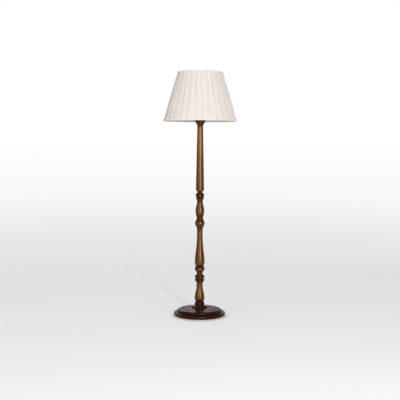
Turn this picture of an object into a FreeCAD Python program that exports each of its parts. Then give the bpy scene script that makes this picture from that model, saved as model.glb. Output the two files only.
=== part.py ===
import FreeCAD, Part
import math
import os

# A floor lamp shaped like a tall turned candlestick: a stepped round base with a weight
# hidden under it, a wooden pole in three turned lengths strung on a hollow threaded rod,
# a flared cup, a switched brass lampholder, a lift-off shade carrier and a box-pleated
# shade with a tapering wire frame.
# Millimetres. +Z is up, the origin is the centre of the felt on the floor, and the lamp
# is seen from -Y in its usual view. Radii are measured from the pole's axis.

# ---------------------------------------------------------------- wooden base
FELT_INSET = 3.0              # from the plinth's foot to the edge of the felt
FELT_THICKNESS = 2.0
PLINTH_RADIUS = 156.7         # at the fullest part of its rounded edge
PLINTH_FOOT_INSET = 4.7       # how far the foot draws in under that edge
PLINTH_TOP_INSET = 6.5        # how far the top draws in above it
PLINTH_HEIGHT = 19.0
PLINTH_FULLEST = 8.55         # height of the fullest part above the foot
STEP_RADIUS = 134.6
STEP_HEIGHT = 25.5
STEP_FOOT_INSET = 1.6
STEP_TOP_RADIUS = 123.5       # where the rounded edge meets the sloping top
STEP_EDGE_HEIGHT = 18.5
STEP_FULLEST = 6.475          # height of the fullest part above its foot
STEP_GROOVE_RADIUS = 104.0    # a fine step in the top, turned as a ring
STEP_GROOVE_DEPTH = 1.6
STEP_GROOVE_WIDTH = 2.2
STEP_GROOVE_SLOPE = 0.55      # width of each sloping side of the groove
STEP_PANEL_RISE = 1.6         # how much higher the top stands inside the groove

# ---------------------------------------------------------------- weight and its fixing
WEIGHT_RADIUS = 109.0
WEIGHT_THICKNESS = 11.0
WEIGHT_CLEARANCE = 3.0        # round the weight, in its recess
WEIGHT_HOLE_CLEARANCE = 6.0   # round the rod's washer, in the weight's hole
RECESS_SPARE = 2.0            # depth left in the recess under the weight
CORD_SLOT_WIDTH = 11.0
SCREW_COUNT = 3
SCREW_CIRCLE_RADIUS = 78.0
SCREW_RADIUS = 2.5
SCREW_HEAD_RADIUS = 5.0
SCREW_HEAD_HEIGHT = 3.2
SCREW_LENGTH = 28.0
SCREW_PHASE = 30.0            # degrees; keeps the screws off the cord's slot

# ---------------------------------------------------------------- cord inlet at the back
CORD_BORE_RADIUS = 4.0
CORD_AXIS_ABOVE_FELT = 8.6
GROMMET_WALL = 1.4
GROMMET_FLANGE_RADIUS = 7.4
GROMMET_FLANGE_THICKNESS = 1.8
GROMMET_EDGE_ROUND = 0.9
GROMMET_LENGTH = 12.0
SPOTFACE_INSET = 6.2          # from the fullest radius of the plinth to the flat seat
SPOTFACE_CLEARANCE = 0.3

# ---------------------------------------------------------------- rod, nuts and washers
ROD_RADIUS = 5.0
ROD_BORE_RADIUS = 4.0
ROD_WAY_CLEARANCE = 0.5       # between the rod and the bore through the wood
ROD_TAIL = 1.5                # thread showing below the lower nut
ROD_NUT_FLATS = 14.0
ROD_NUT_HEIGHT = 4.0
ROD_WASHER_RADIUS = 16.0
ROD_WASHER_THICKNESS = 2.0
LOCK_NUT_HEIGHT = 3.0

# ---------------------------------------------------------------- joints between the lengths
TENON_RADIUS = 9.6
TENON_LENGTH = 20.0
SOCKET_EXTRA_DEPTH = 1.0
GLUE_GAP = 0.15

# ---------------------------------------------------------------- turned outlines
# Each length is turned from its foot up. A *_RISE is the height of one stretch and a
# *_R is the radius that the stretch ends at.
UPRIGHT = 90.0                # the outline runs parallel to the axis there
STEEP = 75.0
SLOPING = 50.0
SPLAYED = 35.0
FLAT = 20.0
TIGHT = 0.20                  # reach of a curve's pull, as a share of the curve's chord
SLACK = 0.30
EASY = 0.42
EVEN = 0.50
ROUNDED = 0.55
FULL = 0.62
NICK_RISE = 0.8               # the little chamfer at the edge of a quirk

# socket: the dark foot of the pole, with one bead
SOCKET_FLANGE_R = 47.0
SOCKET_FLANGE_RISE = 2.5
SOCKET_COVE_RISE = 18.0
SOCKET_COVE_R = 28.6
SOCKET_QUIRK = 1.5
SOCKET_BEAD_RISE = 8.5
SOCKET_BEAD_R = 29.2
SOCKET_TOP_RISE = 8.7
SOCKET_TOP_R = 24.0

# lower length: belly, waist, thin ring, quirk, bead, neck, ball
LOWER_FOOT_R = 23.0
LOWER_FOOT_RISE = 3.0
LOWER_BELLY_RISE = 17.0
LOWER_BELLY_R = 30.0
LOWER_WAIST_RISE = 73.0
LOWER_WAIST_R = 19.2
LOWER_WAIST_STRAIGHT = 9.0
LOWER_FLARE_RISE = 25.0
LOWER_FLARE_R = 27.7
LOWER_RING_RISE = 9.0
LOWER_RING_R = 29.8
LOWER_QUIRK_RISE = 7.0
LOWER_QUIRK_R = 24.9
LOWER_BEAD_R = 29.9
LOWER_BEAD_RISE = 7.5
LOWER_NECK_RISE = 21.5
LOWER_NECK_R = 17.8
LOWER_NECK_STRAIGHT = 3.0
LOWER_BALL_RISE = 24.5
LOWER_BALL_R = 30.2
LOWER_TOP_RISE = 17.5
LOWER_TOP_R = 23.1

# middle length: long baluster, ball, vase, thin ring, quirk, bead
MIDDLE_FOOT_RISE = 2.0
MIDDLE_BELLY_RISE = 29.0
MIDDLE_BELLY_R = 29.7
MIDDLE_NECK_RISE = 187.0
MIDDLE_NECK_R = 17.1
MIDDLE_BALL_RISE = 46.0
MIDDLE_BALL_R = 29.4
MIDDLE_PINCH_RISE = 32.5
MIDDLE_PINCH_R = 18.9
MIDDLE_VASE_RISE = 44.5
MIDDLE_VASE_R = 26.4
MIDDLE_STEM_RISE = 56.0
MIDDLE_STEM_R = 17.7
MIDDLE_FLARE_RISE = 14.0
MIDDLE_FLARE_R = 23.0
MIDDLE_RING_RISE = 9.5
MIDDLE_RING_R = 24.8
MIDDLE_QUIRK_RISE = 3.5
MIDDLE_QUIRK_R = 21.6
MIDDLE_BEAD_RISE = 9.5
MIDDLE_BEAD_R = 25.6
MIDDLE_TOP_RISE = 17.5
MIDDLE_TOP_R = 15.4

# upper length: shoulder and a long plain taper
UPPER_FOOT_RISE = 3.0
UPPER_SHOULDER_RISE = 13.0
UPPER_SHOULDER_R = 24.6
UPPER_BAND_RISE = 4.0
UPPER_BAND_R = 24.9
UPPER_TAPER_RISE = 384.0
UPPER_TOP_R = 17.6

# cup: flared, with a rounded lip
CUP_FLARE_RISE = 23.5
CUP_FLARE_R = 30.3
CUP_LIP_RISE = 4.5
CUP_LIP_R = 31.8
CUP_ROUND_RISE = 8.5
CUP_TOP_R = 25.5

# ---------------------------------------------------------------- lampholder
CUP_PLATE_RADIUS = 20.0
CUP_PLATE_THICKNESS = 1.5
HOLDER_WALL = 1.0
CAP_NECK_RADIUS = 8.0
CAP_NECK_HEIGHT = 8.0
CAP_DOME_HEIGHT = 8.0
CAP_RADIUS = 19.0
CAP_SIDE_HEIGHT = 18.0
SKIRT_FLANGE_RADIUS = 23.0
SKIRT_FLANGE_THICKNESS = 2.0
SKIRT_RADIUS = 19.7
SKIRT_HEIGHT = 30.0
INSULATOR_CLEARANCE = 0.3
INSULATOR_FOOT_HEIGHT = 14.0
INSULATOR_TOP_RADIUS = 15.6
INSULATOR_TOP_HEIGHT = 10.0
CONTACT_RADIUS = 4.0
CONTACT_TIP_RADIUS = 1.6
CONTACT_HEIGHT = 2.0
SHELL_WALL = 0.6
SHELL_HEIGHT = 18.0
SHELL_FLANGE_RADIUS = 15.4
SHELL_FLANGE_THICKNESS = 0.8

# ---------------------------------------------------------------- switch bar
BAR_RADIUS = 2.3
BAR_HOLE_CLEARANCE = 0.1
BAR_ABOVE_SIDE = 8.0          # its axis, above the foot of the cap's straight side
BAR_TRAVEL = 6.0
BAR_END_CLEARANCE = 0.5
BAR_BUTTON_RADIUS = 3.6
BAR_BUTTON_LENGTH = 4.0
BAR_BUTTON_CHAMFER = 0.7
BAR_TUNNEL_CLEARANCE = 0.6

# ---------------------------------------------------------------- bulb
BULB_CAP_RADIUS = 13.2        # a 27 mm screw cap
BULB_CAP_CLEARANCE = 0.15
BULB_CAP_HEIGHT = 22.0
BULB_CONE_HEIGHT = 3.0
BULB_STUD_RADIUS = 5.0
BULB_STUD_HEIGHT = 1.5
BULB_CONTACT_GAP = 0.1
BULB_NECK_RADIUS = 13.6
BULB_RADIUS = 30.0
BULB_FLARE_RISE = 44.0
GLASS_WALL = 1.0

# ---------------------------------------------------------------- shade ring and carrier
RING_SEAT_GAP = 0.1
THREAD_CLEARANCE = 0.1
RING_WALL = 3.2
RING_COLLAR_HEIGHT = 8.0
RING_FLANGE_RADIUS = 27.0
RING_FLANGE_THICKNESS = 3.0
RING_NOTCHES = 12
RING_NOTCH_RADIUS = 2.2
CARRIER_CLEARANCE = 0.4
CARRIER_BASE_RADIUS = 28.0
CARRIER_PLATE = 1.5
TAB_WIDTH = 8.0
TAB_REACH = 6.5
TAB_EDGE = 0.5                # metal left on the ear outside the wire
WIRE_RADIUS = 1.6
WIRE_FOOT = 8.0
WIRE_SLANT_RISE = 26.0
WIRE_BEND_RADIUS = 12.0
CARRIER_HEIGHT = 203.2        # an 8 inch carrier, from the shoulder to the ring's seat
CARRIER_RING_INNER = 45.5
CARRIER_RING_OUTER = 52.5
CARRIER_LIP_HEIGHT = 4.0
CARRIER_LIP_WALL = 1.2

# ---------------------------------------------------------------- shade
SHADE_TOP_RADIUS = 137.6      # a 27.5 cm top, over the tape
SHADE_BOTTOM_RADIUS = 226.0   # a 45 cm foot to the cloth, and the tape over it
SHADE_HEIGHT = 299.4          # sold as 30 cm tall
SPIDER_DROP = 48.5            # the seat of the spider below the top rim
SPIDER_CLEARANCE = 0.5        # between the spider's band and the carrier's lip
SPIDER_BAND_WALL = 2.2
SPIDER_BAND_HEIGHT = 5.0
SPIDER_ARMS = 4
SHADE_WIRE_RADIUS = 1.6
STRUT_RADIUS = 1.3
STRUT_COUNT = 8
STRUT_PHASE = 22.5            # degrees; the uprights stand between the arms
PLEAT_COUNT = 30
PLEAT_DEPTH = 3.0
PLEAT_VALLEY_SHARE = 0.16     # of one pleat's width, at the valley's floor
PLEAT_SIDE_SHARE = 0.06       # of one pleat's width, for each sloping side
PLEAT_PHASE = 2.6             # degrees from the front to the nearest valley, towards +X
CLOTH_THICKNESS = 1.0
FRAME_SPACE = 3.8             # room for the wires between the cover and the lining
LINING_THICKNESS = 0.8
LINING_TOP_DROP = 7.0         # the lining ends below the arms' roots
BINDING_THICKNESS = 0.8
TOP_BINDING_WIDTH = 10.0
BOTTOM_BINDING_WIDTH = 7.5
CLOTH_GAP = 0.3

UP = FreeCAD.Vector(0, 0, 1)
ACROSS = FreeCAD.Vector(1, 0, 0)
BACKWARDS = FreeCAD.Vector(0, 1, 0)
ORIGIN = FreeCAD.Vector(0, 0, 0)


class Outline:
    """One side of a turned piece, drawn upwards from its foot in the XZ plane."""

    def __init__(self, radius, height):
        self.radius = radius
        self.height = height
        self.foot = FreeCAD.Vector(radius, 0, height)
        self.edges = []

    def _point(self):
        return FreeCAD.Vector(self.radius, 0, self.height)

    def line(self, rise, radius):
        """A straight stretch: upright, tapered or, with no rise, a flat shoulder."""
        start = self._point()
        self.height += rise
        self.radius = radius
        self.edges.append(Part.LineSegment(start, self._point()).toShape())
        return self

    def curve(self, rise, radius, leave=UPRIGHT, arrive=UPRIGHT, pull=EASY, end_pull=None):
        """A flowing stretch that leaves and arrives at the given angles to the floor."""
        start = self._point()
        side = 1.0 if radius >= self.radius else -1.0
        self.height += rise
        self.radius = radius
        end = self._point()
        chord = (end - start).Length
        leaving = math.radians(leave)
        arriving = math.radians(arrive)
        first = FreeCAD.Vector(side * math.cos(leaving), 0, math.sin(leaving)) * chord * pull
        reach = chord * (pull if end_pull is None else end_pull)
        second = FreeCAD.Vector(side * math.cos(arriving), 0, math.sin(arriving)) * reach
        bezier = Part.BezierCurve()
        bezier.setPoles([start, start + first, end - second, end])
        self.edges.append(bezier.toShape())
        return self

    def round(self, rise, radius, bulge):
        """A circular stretch that stands out from its chord by the bulge."""
        start = self._point()
        self.height += rise
        self.radius = radius
        end = self._point()
        along = end - start
        outward = FreeCAD.Vector(along.z, 0, -along.x)
        outward.normalize()
        middle = (start + end) * 0.5 + outward * bulge
        self.edges.append(Part.Arc(start, middle, end).toShape())
        return self

    def dome(self):
        """A quarter circle from here up to the axis."""
        start = self._point()
        centre = start.z
        slant = FreeCAD.Vector(1, 0, 1).normalize() * self.radius
        middle = FreeCAD.Vector(slant.x, 0, centre + slant.z)
        self.height += self.radius
        self.radius = 0
        self.edges.append(Part.Arc(start, middle, self._point()).toShape())
        return self

    def turned(self, bore):
        """The solid between this outline and a bore along the axis (0 for none)."""
        corners = [self._point(), FreeCAD.Vector(bore, 0, self.height),
                   FreeCAD.Vector(bore, 0, self.foot.z), self.foot]
        closing = [Part.LineSegment(start, end).toShape()
                   for start, end in zip(corners, corners[1:]) if start != end]
        face = Part.Face(Part.Wire(self.edges + closing))
        return face.revolve(ORIGIN, UP, 360)


def disc(radius, height, base):
    return Part.makeCylinder(radius, height, FreeCAD.Vector(0, 0, base), UP)


def tube(outer, inner, height, base):
    return disc(outer, height, base).cut(disc(inner, height, base))


def around(shape, degrees):
    turned = shape.copy()
    turned.rotate(ORIGIN, UP, degrees)
    return turned


def hexagon(flats, height, base):
    radius = flats / math.cos(math.radians(30)) / 2
    corners = []
    for turn in range(7):
        angle = math.radians(60 * turn)
        corners.append(FreeCAD.Vector(radius * math.cos(angle), radius * math.sin(angle), base))
    return Part.Face(Part.makePolygon(corners)).extrude(UP * height)


def hex_nut(height, base):
    return hexagon(ROD_NUT_FLATS, height, base).cut(disc(ROD_RADIUS, height, base))


def save(name, shape):
    shape.exportStep(os.path.join("parts", name + ".step"))
    PIECES.append((name, shape))


# ---------------------------------------------------------------- heights that follow
PLINTH_BASE = FELT_THICKNESS
STEP_BASE = PLINTH_BASE + PLINTH_HEIGHT
SOCKET_BASE = STEP_BASE + STEP_HEIGHT
RECESS_DEPTH = WEIGHT_THICKNESS + RECESS_SPARE
RECESS_ROOF = PLINTH_BASE + RECESS_DEPTH
WEIGHT_BASE = RECESS_ROOF - WEIGHT_THICKNESS
WASHER_BASE = RECESS_ROOF - ROD_WASHER_THICKNESS
ROD_NUT_BASE = WASHER_BASE - ROD_NUT_HEIGHT
ROD_FOOT = ROD_NUT_BASE - ROD_TAIL
ROD_WAY = ROD_RADIUS + ROD_WAY_CLEARANCE
PIECES = []


# ---------------------------------------------------------------- base
def felt_pad():
    return disc(PLINTH_RADIUS - PLINTH_FOOT_INSET - FELT_INSET, FELT_THICKNESS, 0)


def screw_places():
    places = []
    for turn in range(SCREW_COUNT):
        angle = math.radians(SCREW_PHASE + 360.0 / SCREW_COUNT * turn)
        places.append((SCREW_CIRCLE_RADIUS * math.cos(angle), SCREW_CIRCLE_RADIUS * math.sin(angle)))
    return places


def screw(place):
    """A countersunk wood screw driven upwards, its flat head flush with the weight."""
    x, y = place
    foot = FreeCAD.Vector(x, y, WEIGHT_BASE)
    head = Part.makeCone(SCREW_HEAD_RADIUS, SCREW_RADIUS, SCREW_HEAD_HEIGHT, foot, UP)
    shank = Part.makeCylinder(SCREW_RADIUS, SCREW_LENGTH, foot, UP)
    return head.fuse(shank).removeSplitter()


def weight_screws():
    return Part.makeCompound([screw(place) for place in screw_places()])


def cord_axis_point(distance):
    return FreeCAD.Vector(0, distance, PLINTH_BASE + CORD_AXIS_ABOVE_FELT)


def spotface_distance():
    return PLINTH_RADIUS - SPOTFACE_INSET


def grommet_sleeve_radius():
    return CORD_BORE_RADIUS + GROMMET_WALL


def plinth():
    """The wide foot disc: rounded edge, weight recess below, cord way through the rim."""
    side = Outline(PLINTH_RADIUS - PLINTH_FOOT_INSET, PLINTH_BASE)
    side.curve(PLINTH_FULLEST, PLINTH_RADIUS, SPLAYED, UPRIGHT, EVEN)
    side.curve(PLINTH_HEIGHT - PLINTH_FULLEST, PLINTH_RADIUS - PLINTH_TOP_INSET, UPRIGHT, FLAT,
               ROUNDED)
    body = side.turned(ROD_WAY)
    body = body.cut(disc(WEIGHT_RADIUS + WEIGHT_CLEARANCE, RECESS_DEPTH, PLINTH_BASE))
    for x, y in screw_places():
        body = body.cut(Part.makeCylinder(SCREW_RADIUS, SCREW_LENGTH,
                                          FreeCAD.Vector(x, y, WEIGHT_BASE), UP))
    seat = spotface_distance()
    flat = Part.makeCylinder(GROMMET_FLANGE_RADIUS + SPOTFACE_CLEARANCE, PLINTH_RADIUS,
                             cord_axis_point(seat), BACKWARDS)
    way = Part.makeCylinder(grommet_sleeve_radius(), PLINTH_RADIUS,
                            cord_axis_point(0), BACKWARDS)
    return body.cut(flat).cut(way)


def base_step():
    """The smaller upper disc: ovolo edge, gently sloping top with one fine ring."""
    side = Outline(STEP_RADIUS - STEP_FOOT_INSET, STEP_BASE)
    side.curve(STEP_FULLEST, STEP_RADIUS, STEEP, UPRIGHT)
    side.curve(STEP_EDGE_HEIGHT - STEP_FULLEST, STEP_TOP_RADIUS, UPRIGHT, FLAT, EVEN)
    top = SOCKET_BASE - side.height
    share = (STEP_TOP_RADIUS - STEP_GROOVE_RADIUS) / (STEP_TOP_RADIUS - SOCKET_FLANGE_R)
    side.line(top * share, STEP_GROOVE_RADIUS)
    panel_radius = STEP_GROOVE_RADIUS - STEP_GROOVE_WIDTH
    side.line(-STEP_GROOVE_DEPTH, STEP_GROOVE_RADIUS - STEP_GROOVE_SLOPE)
    side.line(0, panel_radius + STEP_GROOVE_SLOPE)
    side.line(STEP_GROOVE_DEPTH + STEP_PANEL_RISE, panel_radius)
    side.line(SOCKET_BASE - side.height, SOCKET_FLANGE_R)
    body = side.turned(ROD_WAY)
    for x, y in screw_places():
        body = body.cut(Part.makeCylinder(SCREW_RADIUS, SCREW_LENGTH,
                                          FreeCAD.Vector(x, y, WEIGHT_BASE), UP))
    return body


def base_weight():
    """A flat iron disc under the plinth, slotted at the back for the cord."""
    hole = ROD_WASHER_RADIUS + WEIGHT_HOLE_CLEARANCE
    body = tube(WEIGHT_RADIUS, hole, WEIGHT_THICKNESS, WEIGHT_BASE)
    slot = Part.makeBox(CORD_SLOT_WIDTH, WEIGHT_RADIUS, WEIGHT_THICKNESS,
                        FreeCAD.Vector(-CORD_SLOT_WIDTH / 2, 0, WEIGHT_BASE))
    body = body.cut(slot)
    for place in screw_places():
        body = body.cut(screw(place))
    return body


def cord_grommet():
    """The bushing that the cord leaves by: a sleeve with a rounded flange outside."""
    seat = cord_axis_point(spotface_distance())
    back = cord_axis_point(spotface_distance() - GROMMET_LENGTH + GROMMET_FLANGE_THICKNESS)
    flange = Part.makeCylinder(GROMMET_FLANGE_RADIUS, GROMMET_FLANGE_THICKNESS, seat, BACKWARDS)
    rim = [edge for edge in flange.Edges
           if edge.BoundBox.YMin > seat.y + GROMMET_EDGE_ROUND / 2]
    flange = flange.makeFillet(GROMMET_EDGE_ROUND, rim)
    sleeve = Part.makeCylinder(grommet_sleeve_radius(), GROMMET_LENGTH, back, BACKWARDS)
    bore = Part.makeCylinder(CORD_BORE_RADIUS, GROMMET_LENGTH, back, BACKWARDS)
    return flange.fuse(sleeve).cut(bore).removeSplitter()


def rod_washer():
    return tube(ROD_WASHER_RADIUS, ROD_WAY, ROD_WASHER_THICKNESS, WASHER_BASE)


def rod_nut():
    return hex_nut(ROD_NUT_HEIGHT, ROD_NUT_BASE)


# ---------------------------------------------------------------- pole
def with_joints(body, foot_tenon, top_socket, base, top):
    """Adds the tenon under a length and bores the socket in its top."""
    if foot_tenon:
        body = body.fuse(tube(TENON_RADIUS, ROD_WAY, TENON_LENGTH, base - TENON_LENGTH))
    if top_socket:
        depth = TENON_LENGTH + SOCKET_EXTRA_DEPTH
        body = body.cut(disc(TENON_RADIUS + GLUE_GAP, depth, top - depth))
    return body.removeSplitter()


def socket_outline():
    side = Outline(SOCKET_FLANGE_R, SOCKET_BASE)
    side.line(SOCKET_FLANGE_RISE, SOCKET_FLANGE_R)
    side.curve(SOCKET_COVE_RISE, SOCKET_COVE_R)
    side.line(0, SOCKET_COVE_R - SOCKET_QUIRK)
    side.curve(SOCKET_BEAD_RISE, SOCKET_BEAD_R, FLAT, UPRIGHT)
    side.curve(SOCKET_TOP_RISE, SOCKET_TOP_R, UPRIGHT, SPLAYED)
    side.line(NICK_RISE, LOWER_FOOT_R)
    return side


def lower_outline(base):
    side = Outline(LOWER_FOOT_R, base)
    side.line(LOWER_FOOT_RISE, LOWER_FOOT_R)
    side.curve(LOWER_BELLY_RISE, LOWER_BELLY_R, SPLAYED, UPRIGHT)
    side.curve(LOWER_WAIST_RISE, LOWER_WAIST_R)
    side.line(LOWER_WAIST_STRAIGHT, LOWER_WAIST_R)
    side.curve(LOWER_FLARE_RISE, LOWER_FLARE_R, UPRIGHT, SPLAYED)
    side.round(LOWER_RING_RISE, LOWER_FLARE_R, LOWER_RING_R - LOWER_FLARE_R)
    side.line(NICK_RISE, LOWER_QUIRK_R)
    side.line(LOWER_QUIRK_RISE - 2 * NICK_RISE, LOWER_QUIRK_R)
    side.line(NICK_RISE, LOWER_FLARE_R - NICK_RISE)
    side.curve(LOWER_BEAD_RISE, LOWER_BEAD_R, SLOPING, UPRIGHT)
    side.curve(LOWER_NECK_RISE, LOWER_NECK_R)
    side.line(LOWER_NECK_STRAIGHT, LOWER_NECK_R)
    side.curve(LOWER_BALL_RISE, LOWER_BALL_R, STEEP, UPRIGHT)
    side.curve(LOWER_TOP_RISE, LOWER_TOP_R, UPRIGHT, SLOPING)
    return side


def middle_outline(base):
    side = Outline(LOWER_TOP_R, base)
    side.line(MIDDLE_FOOT_RISE, LOWER_TOP_R)
    side.curve(MIDDLE_BELLY_RISE, MIDDLE_BELLY_R, SPLAYED, UPRIGHT, SLACK)
    side.curve(MIDDLE_NECK_RISE, MIDDLE_NECK_R, UPRIGHT, UPRIGHT, TIGHT, FULL)
    side.curve(MIDDLE_BALL_RISE, MIDDLE_BALL_R, UPRIGHT, UPRIGHT, FULL, EASY)
    side.curve(MIDDLE_PINCH_RISE, MIDDLE_PINCH_R)
    side.curve(MIDDLE_VASE_RISE, MIDDLE_VASE_R, STEEP, UPRIGHT, EASY, FULL)
    side.curve(MIDDLE_STEM_RISE, MIDDLE_STEM_R)
    side.curve(MIDDLE_FLARE_RISE, MIDDLE_FLARE_R, UPRIGHT, SPLAYED)
    side.round(MIDDLE_RING_RISE, MIDDLE_FLARE_R, MIDDLE_RING_R - MIDDLE_FLARE_R)
    side.line(NICK_RISE, MIDDLE_QUIRK_R)
    side.line(MIDDLE_QUIRK_RISE - 2 * NICK_RISE, MIDDLE_QUIRK_R)
    side.line(NICK_RISE, MIDDLE_FLARE_R)
    side.curve(MIDDLE_BEAD_RISE, MIDDLE_BEAD_R, SLOPING, UPRIGHT)
    side.curve(MIDDLE_TOP_RISE, MIDDLE_TOP_R, UPRIGHT, SPLAYED)
    return side


def upper_outline(base):
    side = Outline(MIDDLE_TOP_R, base)
    side.line(UPPER_FOOT_RISE, MIDDLE_TOP_R)
    side.curve(UPPER_SHOULDER_RISE, UPPER_SHOULDER_R, SLOPING, STEEP)
    side.line(UPPER_BAND_RISE, UPPER_BAND_R)
    side.line(UPPER_TAPER_RISE, UPPER_TOP_R)
    return side


def cup_outline(base):
    side = Outline(UPPER_TOP_R, base)
    side.curve(CUP_FLARE_RISE, CUP_FLARE_R, STEEP, SLOPING)
    side.curve(CUP_LIP_RISE, CUP_LIP_R, SLOPING, UPRIGHT)
    side.curve(CUP_ROUND_RISE, CUP_TOP_R, UPRIGHT, FLAT)
    return side


SOCKET_TOP = socket_outline().height
LOWER_TOP = lower_outline(SOCKET_TOP).height
MIDDLE_TOP = middle_outline(LOWER_TOP).height
UPPER_TOP = upper_outline(MIDDLE_TOP).height
CUP_TOP = cup_outline(UPPER_TOP).height


def pole_socket():
    return with_joints(socket_outline().turned(ROD_WAY), True, True, SOCKET_BASE, SOCKET_TOP)


def lower_baluster():
    return with_joints(lower_outline(SOCKET_TOP).turned(ROD_WAY), True, True,
                       SOCKET_TOP, LOWER_TOP)


def middle_baluster():
    return with_joints(middle_outline(LOWER_TOP).turned(ROD_WAY), True, True,
                       LOWER_TOP, MIDDLE_TOP)


def upper_shaft():
    return with_joints(upper_outline(MIDDLE_TOP).turned(ROD_WAY), True, True,
                       MIDDLE_TOP, UPPER_TOP)


def candle_cup():
    return with_joints(cup_outline(UPPER_TOP).turned(ROD_WAY), True, False,
                       UPPER_TOP, CUP_TOP)


def mortised_step():
    """The upper disc takes the socket's tenon from above."""
    depth = TENON_LENGTH + SOCKET_EXTRA_DEPTH
    return base_step().cut(disc(TENON_RADIUS + GLUE_GAP, depth, SOCKET_BASE - depth))


# ---------------------------------------------------------------- lampholder
CUP_PLATE_BASE = CUP_TOP
LOCK_NUT_BASE = CUP_PLATE_BASE + CUP_PLATE_THICKNESS
CAP_BASE = LOCK_NUT_BASE + LOCK_NUT_HEIGHT
CAP_SIDE_BASE = CAP_BASE + CAP_NECK_HEIGHT + CAP_DOME_HEIGHT
CAP_TOP = CAP_SIDE_BASE + CAP_SIDE_HEIGHT
ROD_TOP = CAP_BASE + CAP_NECK_HEIGHT
SHOULDER = CAP_TOP + SKIRT_FLANGE_THICKNESS
BAR_HEIGHT = CAP_SIDE_BASE + BAR_ABOVE_SIDE
INSULATOR_BASE = CAP_TOP - INSULATOR_FOOT_HEIGHT
CONTACT_FLOOR = CAP_TOP + INSULATOR_TOP_HEIGHT
CONTACT_TOP = CONTACT_FLOOR + CONTACT_HEIGHT
SHELL_INNER = BULB_CAP_RADIUS + BULB_CAP_CLEARANCE
BAR_TUNNEL = BAR_RADIUS + BAR_TUNNEL_CLEARANCE


def threaded_rod():
    return tube(ROD_RADIUS, ROD_BORE_RADIUS, ROD_TOP - ROD_FOOT, ROD_FOOT)


def cup_plate():
    return tube(CUP_PLATE_RADIUS, ROD_WAY, CUP_PLATE_THICKNESS, CUP_PLATE_BASE)


def lock_nut():
    return hex_nut(LOCK_NUT_HEIGHT, LOCK_NUT_BASE)


def cross_bar(radius):
    start = FreeCAD.Vector(-2 * CAP_RADIUS, 0, BAR_HEIGHT)
    return Part.makeCylinder(radius, 4 * CAP_RADIUS, start, ACROSS)


def holder_cap():
    """The spun brass back of the holder: a neck on the rod, a dome and a straight side."""
    outer = Outline(CAP_NECK_RADIUS, CAP_BASE)
    outer.line(CAP_NECK_HEIGHT, CAP_NECK_RADIUS)
    outer.curve(CAP_DOME_HEIGHT, CAP_RADIUS, FLAT, UPRIGHT)
    outer.line(CAP_SIDE_HEIGHT, CAP_RADIUS)
    inner = Outline(ROD_RADIUS, CAP_BASE + CAP_NECK_HEIGHT + HOLDER_WALL)
    inner.curve(CAP_DOME_HEIGHT, CAP_RADIUS - HOLDER_WALL, FLAT, UPRIGHT)
    inner.line(CAP_TOP - inner.height, CAP_RADIUS - HOLDER_WALL)
    shell = outer.turned(ROD_RADIUS).cut(inner.turned(0))
    return shell.cut(cross_bar(BAR_RADIUS + BAR_HOLE_CLEARANCE))


def holder_insulator():
    """The moulded core: a foot in the cap with the switch's tunnel, and a contact floor."""
    foot = disc(CAP_RADIUS - HOLDER_WALL - INSULATOR_CLEARANCE, INSULATOR_FOOT_HEIGHT,
                INSULATOR_BASE)
    head = disc(INSULATOR_TOP_RADIUS, INSULATOR_TOP_HEIGHT, CAP_TOP)
    return foot.fuse(head).cut(cross_bar(BAR_TUNNEL))


def centre_contact():
    side = Outline(CONTACT_RADIUS, CONTACT_FLOOR)
    side.curve(CONTACT_HEIGHT, CONTACT_TIP_RADIUS, UPRIGHT, FLAT)
    return side.turned(0)


def screw_shell():
    """The threaded brass sleeve that the bulb turns in, standing on a narrow foot ring."""
    wall = tube(SHELL_INNER + SHELL_WALL, SHELL_INNER, SHELL_HEIGHT, CONTACT_FLOOR)
    foot = tube(SHELL_FLANGE_RADIUS, SHELL_INNER, SHELL_FLANGE_THICKNESS, CONTACT_FLOOR)
    return wall.fuse(foot).removeSplitter()


def holder_skirt():
    """The outer sleeve with the shoulder that carries the shade carrier."""
    flange = tube(SKIRT_FLANGE_RADIUS, SKIRT_RADIUS - HOLDER_WALL, SKIRT_FLANGE_THICKNESS,
                  CAP_TOP)
    sleeve = tube(SKIRT_RADIUS, SKIRT_RADIUS - HOLDER_WALL, SKIRT_HEIGHT, SHOULDER)
    return flange.fuse(sleeve).removeSplitter()


def bar_button(root, side):
    """A finger button at one end of the bar, its outer edge chamfered."""
    start = FreeCAD.Vector(root, 0, BAR_HEIGHT)
    button = Part.makeCylinder(BAR_BUTTON_RADIUS, BAR_BUTTON_LENGTH, start, ACROSS * side)
    tip = root + side * BAR_BUTTON_LENGTH
    edge = [edge for edge in button.Edges if abs(edge.BoundBox.Center.x - tip) < BAR_BUTTON_CHAMFER]
    return button.makeChamfer(BAR_BUTTON_CHAMFER, edge)


def switch_bar():
    """A push-through bar: pressed in at one end, it stands out at the other."""
    near = CAP_RADIUS + BAR_END_CLEARANCE
    far = -near - BAR_TRAVEL
    rod = Part.makeCylinder(BAR_RADIUS, near - far, FreeCAD.Vector(far, 0, BAR_HEIGHT), ACROSS)
    return rod.fuse([bar_button(near, 1), bar_button(far, -1)]).removeSplitter()


# ---------------------------------------------------------------- bulb
STUD_BASE = CONTACT_TOP + BULB_CONTACT_GAP
BULB_CAP_BASE = STUD_BASE + BULB_STUD_HEIGHT
BULB_CAP_TOP = BULB_CAP_BASE + BULB_CONE_HEIGHT + BULB_CAP_HEIGHT


def bulb_contact():
    return disc(BULB_STUD_RADIUS, BULB_STUD_HEIGHT, STUD_BASE)


def bulb_cap():
    side = Outline(BULB_STUD_RADIUS, BULB_CAP_BASE)
    side.line(BULB_CONE_HEIGHT, BULB_CAP_RADIUS)
    side.line(BULB_CAP_HEIGHT, BULB_CAP_RADIUS)
    return side.turned(0)


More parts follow.
